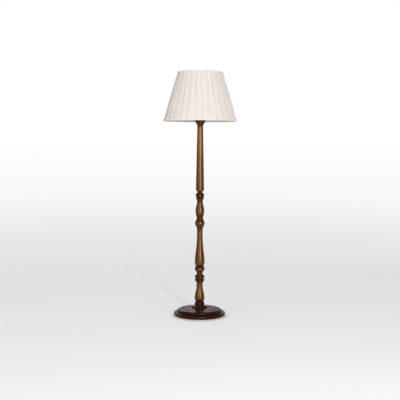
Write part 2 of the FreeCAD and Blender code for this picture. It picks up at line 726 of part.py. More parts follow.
def bulb_form(inset):
    side = Outline(BULB_NECK_RADIUS - inset, BULB_CAP_TOP)
    side.curve(BULB_FLARE_RISE, BULB_RADIUS - inset)
    side.dome()
    return side.turned(0)


def bulb_glass():
    return bulb_form(0).cut(bulb_form(GLASS_WALL))


# ---------------------------------------------------------------- shade ring and carrier
CARRIER_BASE = SHOULDER
CARRIER_SEAT = CARRIER_BASE + CARRIER_HEIGHT
RING_BASE = CARRIER_BASE + CARRIER_PLATE + RING_SEAT_GAP
TAB_X = CARRIER_BASE_RADIUS + TAB_REACH - WIRE_RADIUS - TAB_EDGE
RING_X = (CARRIER_RING_INNER + CARRIER_RING_OUTER) / 2


def shade_ring():
    """The threaded ring that clamps the carrier, notched for the fingers."""
    inner = SKIRT_RADIUS + THREAD_CLEARANCE
    collar = tube(inner + RING_WALL, inner, RING_COLLAR_HEIGHT, RING_BASE)
    flange = tube(RING_FLANGE_RADIUS, inner, RING_FLANGE_THICKNESS, RING_BASE)
    body = flange.fuse(collar).removeSplitter()
    notch = Part.makeCylinder(RING_NOTCH_RADIUS, RING_FLANGE_THICKNESS,
                              FreeCAD.Vector(RING_FLANGE_RADIUS, 0, RING_BASE), UP)
    for turn in range(RING_NOTCHES):
        body = body.cut(around(notch, 360.0 / RING_NOTCHES * turn))
    return body


def carrier_base_ring():
    """A flat ring round the holder, with two ears that the wires stand on."""
    inner = SKIRT_RADIUS + CARRIER_CLEARANCE
    ear = Part.makeBox(2 * (CARRIER_BASE_RADIUS + TAB_REACH), TAB_WIDTH, CARRIER_PLATE,
                       FreeCAD.Vector(-CARRIER_BASE_RADIUS - TAB_REACH, -TAB_WIDTH / 2,
                                      CARRIER_BASE))
    plate = disc(CARRIER_BASE_RADIUS, CARRIER_PLATE, CARRIER_BASE).fuse(ear)
    return plate.cut(disc(inner, CARRIER_PLATE, CARRIER_BASE)).removeSplitter()


def bent_wire(points, radius, bend):
    """A round wire along straight runs joined by tangent bends."""
    edges = []
    start = points[0]
    for before, corner, after in zip(points, points[1:], points[2:]):
        incoming = (corner - before).normalize()
        outgoing = (after - corner).normalize()
        half = incoming.getAngle(outgoing) / 2
        setback = bend * math.tan(half)
        first = corner - incoming * setback
        last = corner + outgoing * setback
        inward = (outgoing - incoming).normalize()
        middle = corner + inward * bend * (1 / math.cos(half) - 1)
        edges.append(Part.LineSegment(start, first).toShape())
        edges.append(Part.Arc(first, middle, last).toShape())
        start = last
    edges.append(Part.LineSegment(start, points[-1]).toShape())
    section = Part.Wire(Part.makeCircle(radius, points[0], points[1] - points[0]))
    return Part.Wire(edges).makePipeShell([section], True, False)


def carrier_wire():
    """One upright: straight off its ear, slanting out past the bulb, then up to the ring."""
    foot = CARRIER_BASE + CARRIER_PLATE
    points = [FreeCAD.Vector(TAB_X, 0, foot),
              FreeCAD.Vector(TAB_X, 0, foot + WIRE_FOOT),
              FreeCAD.Vector(RING_X, 0, foot + WIRE_FOOT + WIRE_SLANT_RISE),
              FreeCAD.Vector(RING_X, 0, CARRIER_SEAT - CARRIER_PLATE)]
    return bent_wire(points, WIRE_RADIUS, WIRE_BEND_RADIUS)


def carrier_wires():
    wire = carrier_wire()
    return Part.makeCompound([wire, around(wire, 180)])


def carrier_top_ring():
    """The flat ring that the shade rests on, with a raised lip that centres it."""
    plate = tube(CARRIER_RING_OUTER, CARRIER_RING_INNER, CARRIER_PLATE,
                 CARRIER_SEAT - CARRIER_PLATE)
    lip = tube(CARRIER_RING_INNER + CARRIER_LIP_WALL, CARRIER_RING_INNER, CARRIER_LIP_HEIGHT,
               CARRIER_SEAT)
    return plate.fuse(lip).removeSplitter()


# ---------------------------------------------------------------- shade
SHADE_TOP = CARRIER_SEAT + SPIDER_DROP
SHADE_BOTTOM = SHADE_TOP - SHADE_HEIGHT
CREST_DEPTH = BINDING_THICKNESS + CLOTH_GAP
COVER_DEPTH = CREST_DEPTH + PLEAT_DEPTH + CLOTH_THICKNESS
FRAME_DEPTH = COVER_DEPTH + FRAME_SPACE / 2
LINING_DEPTH = COVER_DEPTH + FRAME_SPACE
TOP_RING_HEIGHT = SHADE_TOP - BINDING_THICKNESS - CLOTH_GAP - SHADE_WIRE_RADIUS
BOTTOM_RING_HEIGHT = SHADE_BOTTOM + BINDING_THICKNESS + CLOTH_GAP + SHADE_WIRE_RADIUS
BAND_INNER = CARRIER_RING_INNER + CARRIER_LIP_WALL + SPIDER_CLEARANCE
BAND_OUTER = BAND_INNER + SPIDER_BAND_WALL


def shade_radius(height):
    """The shade's outside, over the tapes that bind its edges."""
    share = (height - SHADE_BOTTOM) / SHADE_HEIGHT
    return SHADE_BOTTOM_RADIUS + (SHADE_TOP_RADIUS - SHADE_BOTTOM_RADIUS) * share


def cone(depth, bottom, top):
    """A solid cone whose side lies this far inside the shade's outside."""
    return Part.makeCone(shade_radius(bottom) - depth, shade_radius(top) - depth, top - bottom,
                         FreeCAD.Vector(0, 0, bottom), UP)


def cone_shell(outer_depth, inner_depth, bottom, top):
    return cone(outer_depth, bottom, top).cut(cone(inner_depth, bottom, top))


def wire_ring(height):
    """A hoop of the frame; its seam lies between the arms and the uprights."""
    radius = shade_radius(height) - FRAME_DEPTH
    hoop = Part.makeTorus(radius, SHADE_WIRE_RADIUS, FreeCAD.Vector(0, 0, height), UP)
    return around(hoop, STRUT_PHASE / 2)


def shade_top_ring():
    return wire_ring(TOP_RING_HEIGHT)


def shade_bottom_ring():
    return wire_ring(BOTTOM_RING_HEIGHT)


def straight_rod(start, end, radius):
    along = end - start
    return Part.makeCylinder(radius, along.Length, start, along)


def spider_arm():
    """One sloping arm, from the band up to the top ring."""
    band_middle = CARRIER_SEAT + SPIDER_BAND_HEIGHT / 2
    root = FreeCAD.Vector((BAND_INNER + BAND_OUTER) / 2, 0, band_middle)
    tip = FreeCAD.Vector(shade_radius(TOP_RING_HEIGHT) - FRAME_DEPTH, 0, TOP_RING_HEIGHT)
    rod = straight_rod(root, tip, SHADE_WIRE_RADIUS)
    return rod.cut(disc(BAND_INNER, SPIDER_DROP, CARRIER_SEAT)).cut(shade_top_ring())


def shade_spider():
    """The band that sits on the carrier, and its arms."""
    band = tube(BAND_OUTER, BAND_INNER, SPIDER_BAND_HEIGHT, CARRIER_SEAT)
    arm = spider_arm()
    arms = [around(arm, 360.0 / SPIDER_ARMS * turn) for turn in range(SPIDER_ARMS)]
    return band.fuse(arms).removeSplitter()


def shade_struts():
    """The uprights between the two rings."""
    foot = FreeCAD.Vector(shade_radius(BOTTOM_RING_HEIGHT) - FRAME_DEPTH, 0, BOTTOM_RING_HEIGHT)
    head = FreeCAD.Vector(shade_radius(TOP_RING_HEIGHT) - FRAME_DEPTH, 0, TOP_RING_HEIGHT)
    strut = straight_rod(foot, head, STRUT_RADIUS)
    strut = strut.cut(shade_bottom_ring()).cut(shade_top_ring())
    strut = max(strut.Solids, key=lambda solid: solid.Volume)
    turns = [STRUT_PHASE + 360.0 / STRUT_COUNT * turn for turn in range(STRUT_COUNT)]
    return Part.makeCompound([around(strut, turn) for turn in turns])


def shade_lining():
    bottom = SHADE_BOTTOM + BINDING_THICKNESS + CLOTH_GAP
    return cone_shell(LINING_DEPTH, LINING_DEPTH + LINING_THICKNESS, bottom,
                      SHADE_TOP - LINING_TOP_DROP)


def pleat_ring(height):
    """The pleated edge at one height: flat crests between narrow, slope-sided valleys."""
    crest = shade_radius(height) - CREST_DEPTH
    floor = crest - PLEAT_DEPTH
    pitch = 360.0 / PLEAT_COUNT
    half_floor = pitch * PLEAT_VALLEY_SHARE / 2
    half_mouth = half_floor + pitch * PLEAT_SIDE_SHARE
    profile = [(-half_mouth, crest), (-half_floor, floor), (half_floor, floor),
               (half_mouth, crest)]
    corners = []
    for pleat in range(PLEAT_COUNT):
        for offset, radius in profile:
            angle = math.radians(-90.0 + PLEAT_PHASE + pitch * pleat + offset)
            corners.append(FreeCAD.Vector(radius * math.cos(angle), radius * math.sin(angle),
                                          height))
    return Part.makePolygon(corners + corners[:1])


def shade_cover():
    """The box-pleated cloth, its folds fanning out along the slope."""
    bottom = SHADE_BOTTOM + BINDING_THICKNESS + CLOTH_GAP
    top = SHADE_TOP - BINDING_THICKNESS - CLOTH_GAP
    folds = Part.makeLoft([pleat_ring(bottom), pleat_ring(top)], True, True)
    return folds.cut(cone(COVER_DEPTH, bottom, top))


def binding(edge, width, inward):
    """A tape folded over one edge: a band outside the pleats and a strip across the rim."""
    band_edge = edge + inward * width
    low = min(edge, band_edge)
    high = max(edge, band_edge)
    band = cone_shell(0, BINDING_THICKNESS, low, high)
    strip_edge = edge + inward * BINDING_THICKNESS
    strip_low = min(edge, strip_edge)
    strip_high = max(edge, strip_edge)
    strip = cone_shell(0, LINING_DEPTH + LINING_THICKNESS, strip_low, strip_high)
    return band.fuse(strip).removeSplitter()


def top_binding():
    return binding(SHADE_TOP, TOP_BINDING_WIDTH, -1)


def bottom_binding():
    return binding(SHADE_BOTTOM, BOTTOM_BINDING_WIDTH, 1)


# ---------------------------------------------------------------- write the pieces
def main():
    os.makedirs("parts", exist_ok=True)
    save("felt_pad", felt_pad())
    save("base_plinth", plinth())
    save("base_step", mortised_step())
    save("base_weight", base_weight())
    save("weight_screws", weight_screws())
    save("cord_grommet", cord_grommet())
    save("rod_washer", rod_washer())
    save("rod_nut", rod_nut())
    save("threaded_rod", threaded_rod())
    save("pole_socket", pole_socket())
    save("lower_baluster", lower_baluster())
    save("middle_baluster", middle_baluster())
    save("upper_shaft", upper_shaft())
    save("candle_cup", candle_cup())
    save("cup_plate", cup_plate())
    save("lock_nut", lock_nut())
    save("holder_cap", holder_cap())
    save("holder_insulator", holder_insulator())
    save("centre_contact", centre_contact())
    save("screw_shell", screw_shell())
    save("holder_skirt", holder_skirt())
    save("switch_bar", switch_bar())
    save("bulb_contact", bulb_contact())
    save("bulb_cap", bulb_cap())
    save("bulb_glass", bulb_glass())
    save("shade_ring", shade_ring())
    save("carrier_base_ring", carrier_base_ring())
    save("carrier_wires", carrier_wires())
    save("carrier_top_ring", carrier_top_ring())
    save("shade_spider", shade_spider())
    save("shade_top_ring", shade_top_ring())
    save("shade_bottom_ring", shade_bottom_ring())
    save("shade_struts", shade_struts())
    save("shade_lining", shade_lining())
    save("shade_cover", shade_cover())
    save("top_binding", top_binding())
    save("bottom_binding", bottom_binding())
    for name, shape in PIECES:
        box = shape.BoundBox
        print(f"{name:20s} solids {len(shape.Solids):2d}  z {box.ZMin:8.2f} to {box.ZMax:8.2f}"
              f"  volume {shape.Volume / 1000:9.2f} cm3  valid {shape.isValid()}")


main()
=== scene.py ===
# %% [markdown]
# A candlestick floor lamp, dressed for the photograph.
#
# The hard pieces of the lamp are already modelled: the turned pole, the base, the brass
# holder, the carrier and the wire frame of the shade. They arrive here as a frame that is
# never moved. This lesson gives every one of them its real finish, and makes the soft
# pieces that a lathe or a metal press can't: the pleated cover, its lining, the tapes
# and the felt. Everything is in metres, with +Z up and the floor at zero.

# %% Load the frame
import math
from functools import partial

import bpy
from mathutils import Matrix, Vector


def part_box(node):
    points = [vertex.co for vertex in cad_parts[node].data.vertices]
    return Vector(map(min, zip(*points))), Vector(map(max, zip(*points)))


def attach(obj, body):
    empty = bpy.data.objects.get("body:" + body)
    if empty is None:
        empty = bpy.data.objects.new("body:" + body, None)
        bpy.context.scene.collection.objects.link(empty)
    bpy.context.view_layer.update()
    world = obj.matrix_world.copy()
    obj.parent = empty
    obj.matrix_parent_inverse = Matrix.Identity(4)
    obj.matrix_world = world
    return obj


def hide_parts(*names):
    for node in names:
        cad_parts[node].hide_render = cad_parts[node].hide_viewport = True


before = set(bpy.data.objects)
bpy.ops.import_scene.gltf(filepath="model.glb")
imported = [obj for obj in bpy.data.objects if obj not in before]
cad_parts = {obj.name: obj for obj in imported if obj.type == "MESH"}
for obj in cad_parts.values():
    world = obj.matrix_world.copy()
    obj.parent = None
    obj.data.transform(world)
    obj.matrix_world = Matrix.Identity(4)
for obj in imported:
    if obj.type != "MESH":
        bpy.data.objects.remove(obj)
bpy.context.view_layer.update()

# %% [markdown]
# The lamp's own measures.
#
# Whatever is made here has to fit the frame, so its sizes are read from the frame's
# pieces and not typed again. The shade is a cone: the two tapes that bind its edges are
# each widest at their own lower edge, so those two circles give the whole slope.

# %% Measure the shade
TOP_TAPE_LOW, TOP_TAPE_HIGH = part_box("top_binding")
FOOT_TAPE_LOW, FOOT_TAPE_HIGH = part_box("bottom_binding")
SHADE_TOP = TOP_TAPE_HIGH.z
SHADE_FOOT = FOOT_TAPE_LOW.z
SHADE_LEAN = (TOP_TAPE_HIGH.x - FOOT_TAPE_HIGH.x) / (TOP_TAPE_LOW.z - SHADE_FOOT)
COVER_LOW, COVER_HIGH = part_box("shade_cover")
LINING_LOW, LINING_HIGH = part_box("shade_lining")


def shade_radius(height):
    """The outside of the shade, over its tapes, at one height."""
    return FOOT_TAPE_HIGH.x + SHADE_LEAN * (height - SHADE_FOOT)


TAPE_COVERS = FOOT_TAPE_HIGH.x - COVER_HIGH.x + SHADE_LEAN * (COVER_LOW.z - SHADE_FOOT)
print("shade", round(2 * shade_radius(SHADE_TOP), 4), "m over the top and",
      round(2 * shade_radius(SHADE_FOOT), 4), "m over the foot")

# %% [markdown]
# The camera.
#
# The photograph was taken from a little above the middle of the lamp. How deep the
# ellipses of the base and of the shade's rims look says how far away the camera stood:
# five metres. It tips down by less than three degrees, and its picture is slid a little
# on the film so that the lamp stands where it does in the photograph. It also rolls by a
# quarter of a degree, because the lamp in the picture leans by that much.

# %% Set the camera
LENS_MM = 73.88
CAMERA_DISTANCE = 5.000
CAMERA_HEIGHT = 1.0431
CAMERA_TIP = math.radians(2.672)
CAMERA_ROLL = math.radians(0.22)
PICTURE_SLIDE = -0.04215

camera = bpy.data.objects.new("camera", bpy.data.cameras.new("camera"))
bpy.context.scene.collection.objects.link(camera)
camera.data.lens = LENS_MM
camera.data.sensor_width = 36.0
camera.data.shift_y = PICTURE_SLIDE
camera.matrix_world = (
    Matrix.Translation((0, -CAMERA_DISTANCE, CAMERA_HEIGHT))
    @ Matrix.Rotation(math.radians(90) - CAMERA_TIP, 4, "X")
    @ Matrix.Rotation(CAMERA_ROLL, 4, "Z")
)
bpy.context.scene.camera = camera
bpy.context.scene.view_settings.view_transform = "Standard"
print("camera at", tuple(round(x, 3) for x in camera.location))

# %% [markdown]
# Writing node trees in words.
#
# Blender's materials and its Geometry Nodes are both graphs of small steps. Clicking
# them together is hard to repeat, so this lesson writes them as calls: one call adds a
# step, feeds its sockets with numbers or with the results of earlier steps, and hands
# back its result. Sockets are fed by name, so that each line can be read aloud.

# %% Helpers for node trees
NODES_IN_A_ROW = 10
NODE_SPACE = (220, -260)


def feed_sockets(tree, node, feed):
    """Feeds each socket with a number, a colour or the result of an earlier step."""
    for socket, value in feed.items():
        if isinstance(value, bpy.types.NodeSocket):
            tree.links.new(value, node.inputs[socket])
        else:
            node.inputs[socket].default_value = value


def add(tree, kind, feed=None, result=0, **settings):
    """Adds one step to a tree, feeds its sockets and returns one of its results."""
    node = tree.nodes.new(kind)
    row, column = divmod(len(tree.nodes), NODES_IN_A_ROW)
    node.location = (NODE_SPACE[0] * column, NODE_SPACE[1] * row)
    for setting, value in settings.items():
        setattr(node, setting, value)
    feed_sockets(tree, node, feed or {})
    return node.outputs[result]


def maths(tree, operation, *values, clamp=False):
    return add(tree, "ShaderNodeMath", dict(enumerate(values)), operation=operation,
               use_clamp=clamp)


def arithmetic(tree):
    """Short words for the sums of one tree; the last of them is a times b plus c."""
    return [partial(maths, tree, operation)
            for operation in ("MULTIPLY", "ADD", "SUBTRACT", "DIVIDE", "MULTIPLY_ADD")]


def vector_maths(tree, operation, *values):
    return add(tree, "ShaderNodeVectorMath", dict(enumerate(values)), operation=operation)


def distance_from(tree, spot, centre=(0.0, 0.0, 0.0)):
    return add(tree, "ShaderNodeVectorMath", {0: spot, 1: centre}, operation="DISTANCE",
               result="Value")


def between(tree, value, low, high, low_result=0.0, high_result=1.0):
    """Eases from one result to the other while the value goes from low to high."""
    feed = {"Value": value, "From Min": low, "From Max": high, "To Min": low_result,
            "To Max": high_result}
    return add(tree, "ShaderNodeMapRange", feed, interpolation_type="SMOOTHSTEP")


def curve_through(tree, value, points, rounded=()):
    """A drawn curve: straight from point to point, eased at those listed as rounded."""
    result = add(tree, "ShaderNodeFloatCurve", {"Value": value})
    mapping = result.node.mapping
    mapping.use_clip = False
    line = mapping.curves[0]
    for place in points[1:-1]:
        line.points.new(*place)
    line.points[0].location = points[0]
    line.points[-1].location = points[-1]
    for number, point in enumerate(line.points):
        point.handle_type = "AUTO_CLAMPED" if number in rounded else "VECTOR"
    mapping.update()
    return result


# %% Helpers for finishes
WAVE_REPEAT = math.tau / 20  # a wave texture at scale 1 repeats at this distance


def new_finish(name):
    """An empty material: its tree, its surface shader and the place on the piece."""
    material = bpy.data.materials.new(name)
    material.use_nodes = True
    tree = material.node_tree
    surface = tree.nodes["Principled BSDF"]
    place = add(tree, "ShaderNodeTexCoord", result="Object")
    return material, tree, surface, place


def speckle(tree, place, sizes, detail=2.0, roughness=0.5):
    """Cloudy noise whose grains measure about the given sizes in metres along X, Y, Z."""
    scaled = vector_maths(tree, "DIVIDE", place, sizes)
    return add(tree, "ShaderNodeTexNoise", {"Vector": scaled, "Scale": 1.0, "Detail": detail,
                                            "Roughness": roughness})


def colours(tree, value, *stops):
    """A ramp of colours, each stop written as (position, (red, green, blue))."""
    result = add(tree, "ShaderNodeValToRGB", {"Fac": value})
    ramp = result.node.color_ramp
    ramp.elements[0].position = stops[0][0]
    ramp.elements[-1].position = stops[-1][0]
    for position, _ in stops[1:-1]:
        ramp.elements.new(position)
    for element, (_, colour) in zip(ramp.elements, stops):
        element.color = (*colour, 1.0)
    return result


def blend(tree, share, first, second, kind="MIX"):
    """Mixes two colours; each may be a result or a written colour."""
    feed = {"Factor": share}
    for socket, colour in ((6, first), (7, second)):
        feed[socket] = colour if isinstance(colour, bpy.types.NodeSocket) else (*colour, 1.0)
    return add(tree, "ShaderNodeMix", feed, result=2, data_type="RGBA", blend_type=kind)


def relief(tree, surface, height, depth, strength):
    """Turns a height between 0 and 1 into bumps of the given depth in metres."""
    bump = add(tree, "ShaderNodeBump", {"Height": height, "Strength": strength,
                                        "Distance": depth})
    tree.links.new(bump, surface.inputs["Normal"])


# %% Tie a piece to the lamp
def fit(piece, body, node=None):
    """Ties a piece to the body it moves with, and hides the plain piece it replaces."""
    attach(piece, body)
    if node:
        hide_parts(node)


print("helpers ready")

# %% [markdown]
# The studio.
#
# The lamp stands on a pale grey floor that melts into white with distance. One huge
# disc does both. Near the lamp it is a plain matt floor that keeps the lamp's shadow,
# helped by a little glow, because paper under studio lights always photographs lighter
# than paint. In a ring just round the base, set a little forwards, the glow is dimmed:
# a painted contact shadow. Further out the camera sees a grey that climbs to white. The
# bounced light sees only the matt floor, so none of the whiteness reaches the lamp as
# extra light.

# %% Lay the floor
FLOOR_RADIUS = 400.0
FLOOR_DROP = 0.0002
NEAR_FLOOR = 3.1
FLOOR_MATT = (0.60, 0.60, 0.60)
FLOOR_SEEN = (0.625, 0.625, 0.625)
FLOOR_GLOW = 0.275
PAINTED_SHADOW_REACH = (0.148, 0.1785)
PAINTED_SHADOW_CENTRE = (0.0, -0.035, 0.0)
PAINTED_SHADOW_DEPTH = 0.40
HAZE_FROM = 0.62
HAZE = ((0.0, 0.775), (0.33, 0.807), (0.58, 0.871), (0.75, 0.939), (1.0, 0.982))


def floor_finish():
    """Matt near the lamp, with a painted shadow round the base; grey climbing to white
    beyond.
    """
    material, tree, surface, place = new_finish("pale_floor")
    path = add(tree, "ShaderNodeLightPath").node.outputs
    straight = maths(tree, "ADD", path["Is Camera Ray"], path["Is Transmission Ray"],
                     clamp=True)
    feed_sockets(tree, surface, {"Base Color": blend(tree, straight, FLOOR_MATT, FLOOR_SEEN),
                                 "Roughness": 1.0, "Specular IOR Level": 0.0})
    distance = distance_from(tree, place)
    away = maths(tree, "DIVIDE", NEAR_FLOOR, maths(tree, "MAXIMUM", distance, NEAR_FLOOR))
    away = maths(tree, "SUBTRACT", 1.0, away)
    haze = colours(tree, away, *((spot, (grey, grey, grey)) for spot, grey in HAZE))
    far = between(tree, distance, HAZE_FROM * NEAR_FLOOR, NEAR_FLOOR)
    # The glow is dimmed in a ring round the base, centred a little forwards: a painted
    # contact shadow.
    near = between(tree, distance_from(tree, place, PAINTED_SHADOW_CENTRE), *PAINTED_SHADOW_REACH,
                   PAINTED_SHADOW_DEPTH * FLOOR_GLOW, FLOOR_GLOW)
    glow = blend(tree, far, near, haze)
    glow = add(tree, "ShaderNodeEmission", {"Color": glow, "Strength": straight})
    dark = add(tree, "ShaderNodeEmission", {"Color": (0.0, 0.0, 0.0, 1.0), "Strength": 0.0})
    matt = add(tree, "ShaderNodeMixShader", {0: maths(tree, "MULTIPLY", far, straight),
                                             1: surface.outputs["BSDF"], 2: dark})
    both = add(tree, "ShaderNodeAddShader", {0: matt, 1: glow})
    tree.links.new(both, tree.nodes["Material Output"].inputs["Surface"])
    return material


bpy.ops.mesh.primitive_circle_add(vertices=64, radius=FLOOR_RADIUS, fill_type="NGON",
                                  location=(0, 0, -FLOOR_DROP))
floor = bpy.context.object
floor.name = "floor"
floor.data.materials.append(floor_finish())
print("floor laid, near part", NEAR_FLOOR, "m in radius")

# %% [markdown]
# The light.
#
# A soft grey sky lights the lamp from all sides. The main light is one tall soft box in
# front, a little to the right, which draws the long highlight down the middle of the
# pole. The highlights on the turned balls sit just above their widest ring, so the
# soft box stands low. A weaker box on the left keeps that side from going black, and a
# third, high behind the lamp, draws the shadow of the base a little forwards. The camera
# sees a white sky, as the backdrop was. The polish mirrors that white only from behind
# the lamp: the rest of the studio lay in shade, or the stain would look grey.

# %% Light the studio
SKY_LIGHT = 0.60
STUDIO_IN_POLISH = 0.05
BACKDROP_IN_POLISH = 0.45
BACKDROP_EDGE = (0.3, 0.9)


def light_the_sky():
    world = bpy.data.worlds.new("studio")
    bpy.context.scene.world = world
    world.use_nodes = True
    tree = world.node_tree
    path = add(tree, "ShaderNodeLightPath").node.outputs
    seen = maths(tree, "ADD", path["Is Camera Ray"], path["Is Transmission Ray"], clamp=True)
    strength = maths(tree, "MULTIPLY_ADD", seen, 1.0 - SKY_LIGHT, SKY_LIGHT)
    way = add(tree, "ShaderNodeTexCoord", result="Generated")
    backwards = add(tree, "ShaderNodeSeparateXYZ", {"Vector": way}, result="Y")
    mirrored = between(tree, backwards, *BACKDROP_EDGE, STUDIO_IN_POLISH,
                       BACKDROP_IN_POLISH)
    strength = add(tree, "ShaderNodeMix", {"Factor": path["Is Glossy Ray"], "A": strength,
                                           "B": mirrored})
    feed_sockets(tree, tree.nodes["Background"],
                 {"Color": (1.0, 1.0, 1.0, 1.0), "Strength": strength})


def soft_box(name, width, height, place, aim, watts):
    """A rectangular lamp that faces the aim point."""
    data = bpy.data.lights.new(name, "AREA")
    data.shape = "RECTANGLE"
    data.size = width
    data.size_y = height
    data.energy = watts
    box = bpy.data.objects.new(name, data)
    bpy.context.scene.collection.objects.link(box)
    box.location = place
    box.rotation_euler = (Vector(aim) - Vector(place)).to_track_quat("-Z", "Y").to_euler()


light_the_sky()
soft_box("key_box", 0.55, 2.4, (1.2, -4.6, 1.5), (0, 0, 0.8), 120)
soft_box("fill_box", 1.0, 1.8, (-3.0, -3.8, 1.8), (0, 0, 0.8), 30)
soft_box("back_box", 2.4, 1.6, (-0.8, 4.4, 2.8), (0, 0, 0.6), 25)
print("sky at", SKY_LIGHT, "with a key box, a fill box and a back box")

# %% [markdown]
# Turned walnut.
#
# The pole is four lengths of wood, each turned from its own blank. A blank holds the
# growth rings of a tree whose heart lay somewhere beside it, so the lathe cuts through
# them at a slant: long lines on the straight parts, ovals on the swellings. The same
# happens here: the rings are cylinders round a tree axis off to one side, and the
# surface simply shows where it meets them. Fine fibres and dark pores run along the
# length, and the varnish is a thin coat over it all.
#
# The pole is darker in its necks, its quirks and its small beads than on its broad
# swellings: partly stain that the maker left there and rubbed back elsewhere, partly
# painted shade where less light reaches. Those places are listed as heights on the pole.
# Each length is also darkened towards its left and right sides: painted shade.

# %% Where the stain was left and shade is painted
STAIN_AND_PAINTED_SHADE_BANDS = {
    # Under the lampholder the cup lies in the shadow of the shade: that band is painted
    # shade.
    "under the lampholder": (1.172, 0.016, 0.80),
    "foot of the taper": (0.753, 0.004, 0.70),
    "bead and ring of the vase": (0.719, 0.026, 0.88),
    "pinch under the vase": (0.599, 0.016, 0.85),
    "long neck over the ball": (0.537, 0.014, 0.70),
    "foot of the long baluster": (0.301, 0.005, 1.00),
    "short neck and its bead": (0.252, 0.018, 0.64),
    "quirk over the waist": (0.218, 0.008, 0.88),
    "foot of the belly": (0.087, 0.006, 0.90),
}
DARK_BAND_EDGE = 0.012
STAIN_AND_PAINTED_SHADE_COLOUR = (0.030, 0.0085, 0.0035)


def stain_and_painted_shade_share(tree, height):
    """How dark a height on the pole is made, from 0 to 1: stain left there and painted shade.
    """
    share = None
    for middle, half, strength in STAIN_AND_PAINTED_SHADE_BANDS.values():
        off = maths(tree, "ABSOLUTE", maths(tree, "SUBTRACT", height, middle))
        here = between(tree, off, half, half + DARK_BAND_EDGE, strength, 0.0)
        share = here if share is None else maths(tree, "MAXIMUM", share, here)
    return share


# %% Turned walnut
GROWTH_RING = 0.0042
FIBRE = (0.0011, 0.0011, 0.070)
PORE = (0.00035, 0.00035, 0.0090)
BROAD_TONE = (0.030, 0.030, 0.110)
WANDER = (0.022, 0.022, 0.120)
WANDER_WIDTH = 0.006
WALNUT_EARLY = (0.212, 0.077, 0.014)
WALNUT_LATE = (0.084, 0.024, 0.003)
WALNUT_HONEY = (0.400, 0.180, 0.056)
WALNUT_PORES_AND_PAINTED_SHADE = (0.052, 0.010, 0.001)
VARNISH = (1.0, 0.66, 0.36, 1.0)
PAINTED_SIDE_SHADE_SPAN = (0.003, 0.019)
PORE_RANGE = (0.62, 0.72)
FIBRE_WEIGHT = 0.55
RING_WEIGHT = 0.50
DARK_CLOUDS = (0.45, 0.75, 0.0, 0.45)
HONEY_RISE = (0.85, 1.12, 0.0, 0.45)
KNOT_RANGE = (0.0012, 0.0045, 0.85, 0.0)
RING_TWIST = {"Distortion": 1.2, "Detail": 2.0, "Detail Scale": 1.5}
GLOSS_SPREAD = (0.3, 0.7)
PORE_DARKNESS = 0.45
PORE_RELIEF = 0.7
FIBRE_RELIEF = 0.3
SHINE = 0.94
STAIN_DULLS = 0.50
GRAIN_DEPTH = 0.00012


def growth_rings(tree, place, heart, lift, ring, wander_sizes, wander_width):
    """The early and late wood of a blank whose tree stood at the heart, 0 to 1."""
    moved = vector_maths(tree, "ADD", place, (-heart[0], -heart[1], lift))
    wander = add(tree, "ShaderNodeTexNoise",
                 {"Vector": vector_maths(tree, "DIVIDE", moved, wander_sizes), "Scale": 1.0,
                  "Detail": 2.0}, result="Color")
    centred = vector_maths(tree, "SUBTRACT", wander, (0.5, 0.5, 0.5))
    drift = vector_maths(tree, "MULTIPLY", centred, (wander_width, wander_width, 0.0))
    bent = vector_maths(tree, "ADD", moved, drift)
    return add(tree, "ShaderNodeTexWave",
               {"Vector": bent, "Scale": WAVE_REPEAT / ring, **RING_TWIST}, result="Fac",
               wave_type="RINGS", rings_direction="Z", wave_profile="SAW")


def turned_walnut(name, heart, lift, gloss, edges, knot=None):
    """The finish of one length of the pole, cut beside its own tree's heart."""
    material, tree, surface, place = new_finish(name)
    axes = add(tree, "ShaderNodeSeparateXYZ", {"Vector": place}).node.outputs
    rings = growth_rings(tree, place, heart, lift, GROWTH_RING, WANDER, WANDER_WIDTH)
    fibres = speckle(tree, place, FIBRE, detail=3.0)
    pores = between(tree, speckle(tree, place, PORE, detail=0.0), *PORE_RANGE)
    broad = speckle(tree, vector_maths(tree, "ADD", place, (0, 0, lift)), BROAD_TONE)
    figure = maths(tree, "MULTIPLY_ADD", fibres, FIBRE_WEIGHT,
                   maths(tree, "MULTIPLY", rings, RING_WEIGHT))
    wood = blend(tree, figure, WALNUT_EARLY, WALNUT_LATE)
    wood = blend(tree, between(tree, broad, *DARK_CLOUDS), wood, WALNUT_LATE)
    wood = blend(tree, between(tree, axes["Z"], *HONEY_RISE), wood, WALNUT_HONEY)
    # Each length is darkened towards its left and right sides: painted shade.
    side = maths(tree, "ABSOLUTE", axes["X"])
    wood = blend(tree, between(tree, side, *PAINTED_SIDE_SHADE_SPAN, 0.0, edges), wood, WALNUT_PORES_AND_PAINTED_SHADE)
    dots = maths(tree, "MULTIPLY", pores, PORE_DARKNESS)
    wood = blend(tree, dots, wood, WALNUT_PORES_AND_PAINTED_SHADE)
    if knot:
        spot = between(tree, distance_from(tree, place, knot), *KNOT_RANGE)
        wood = blend(tree, spot, wood, STAIN_AND_PAINTED_SHADE_COLOUR)
    # Darker bands at the listed heights: stain left in the hollows and painted shade.
    stain = stain_and_painted_shade_share(tree, axes["Z"])
    wood = blend(tree, stain, wood, STAIN_AND_PAINTED_SHADE_COLOUR)
    feed_sockets(tree, surface, {
        "Base Color": wood, "Roughness": between(tree, fibres, *GLOSS_SPREAD, *gloss),
        "Specular IOR Level": maths(tree, "MULTIPLY_ADD", stain, -STAIN_DULLS, SHINE),
        "Specular Tint": VARNISH})
    grain = maths(tree, "MULTIPLY", fibres, FIBRE_RELIEF)
    grain = maths(tree, "MULTIPLY_ADD", pores, -PORE_RELIEF, grain)
    relief(tree, surface, grain, GRAIN_DEPTH, strength=0.5)
    return material


KNOT = (-0.003, -0.0298, 0.112)
WELL_RUBBED = (0.27, 0.36)
SATIN = (0.32, 0.41)
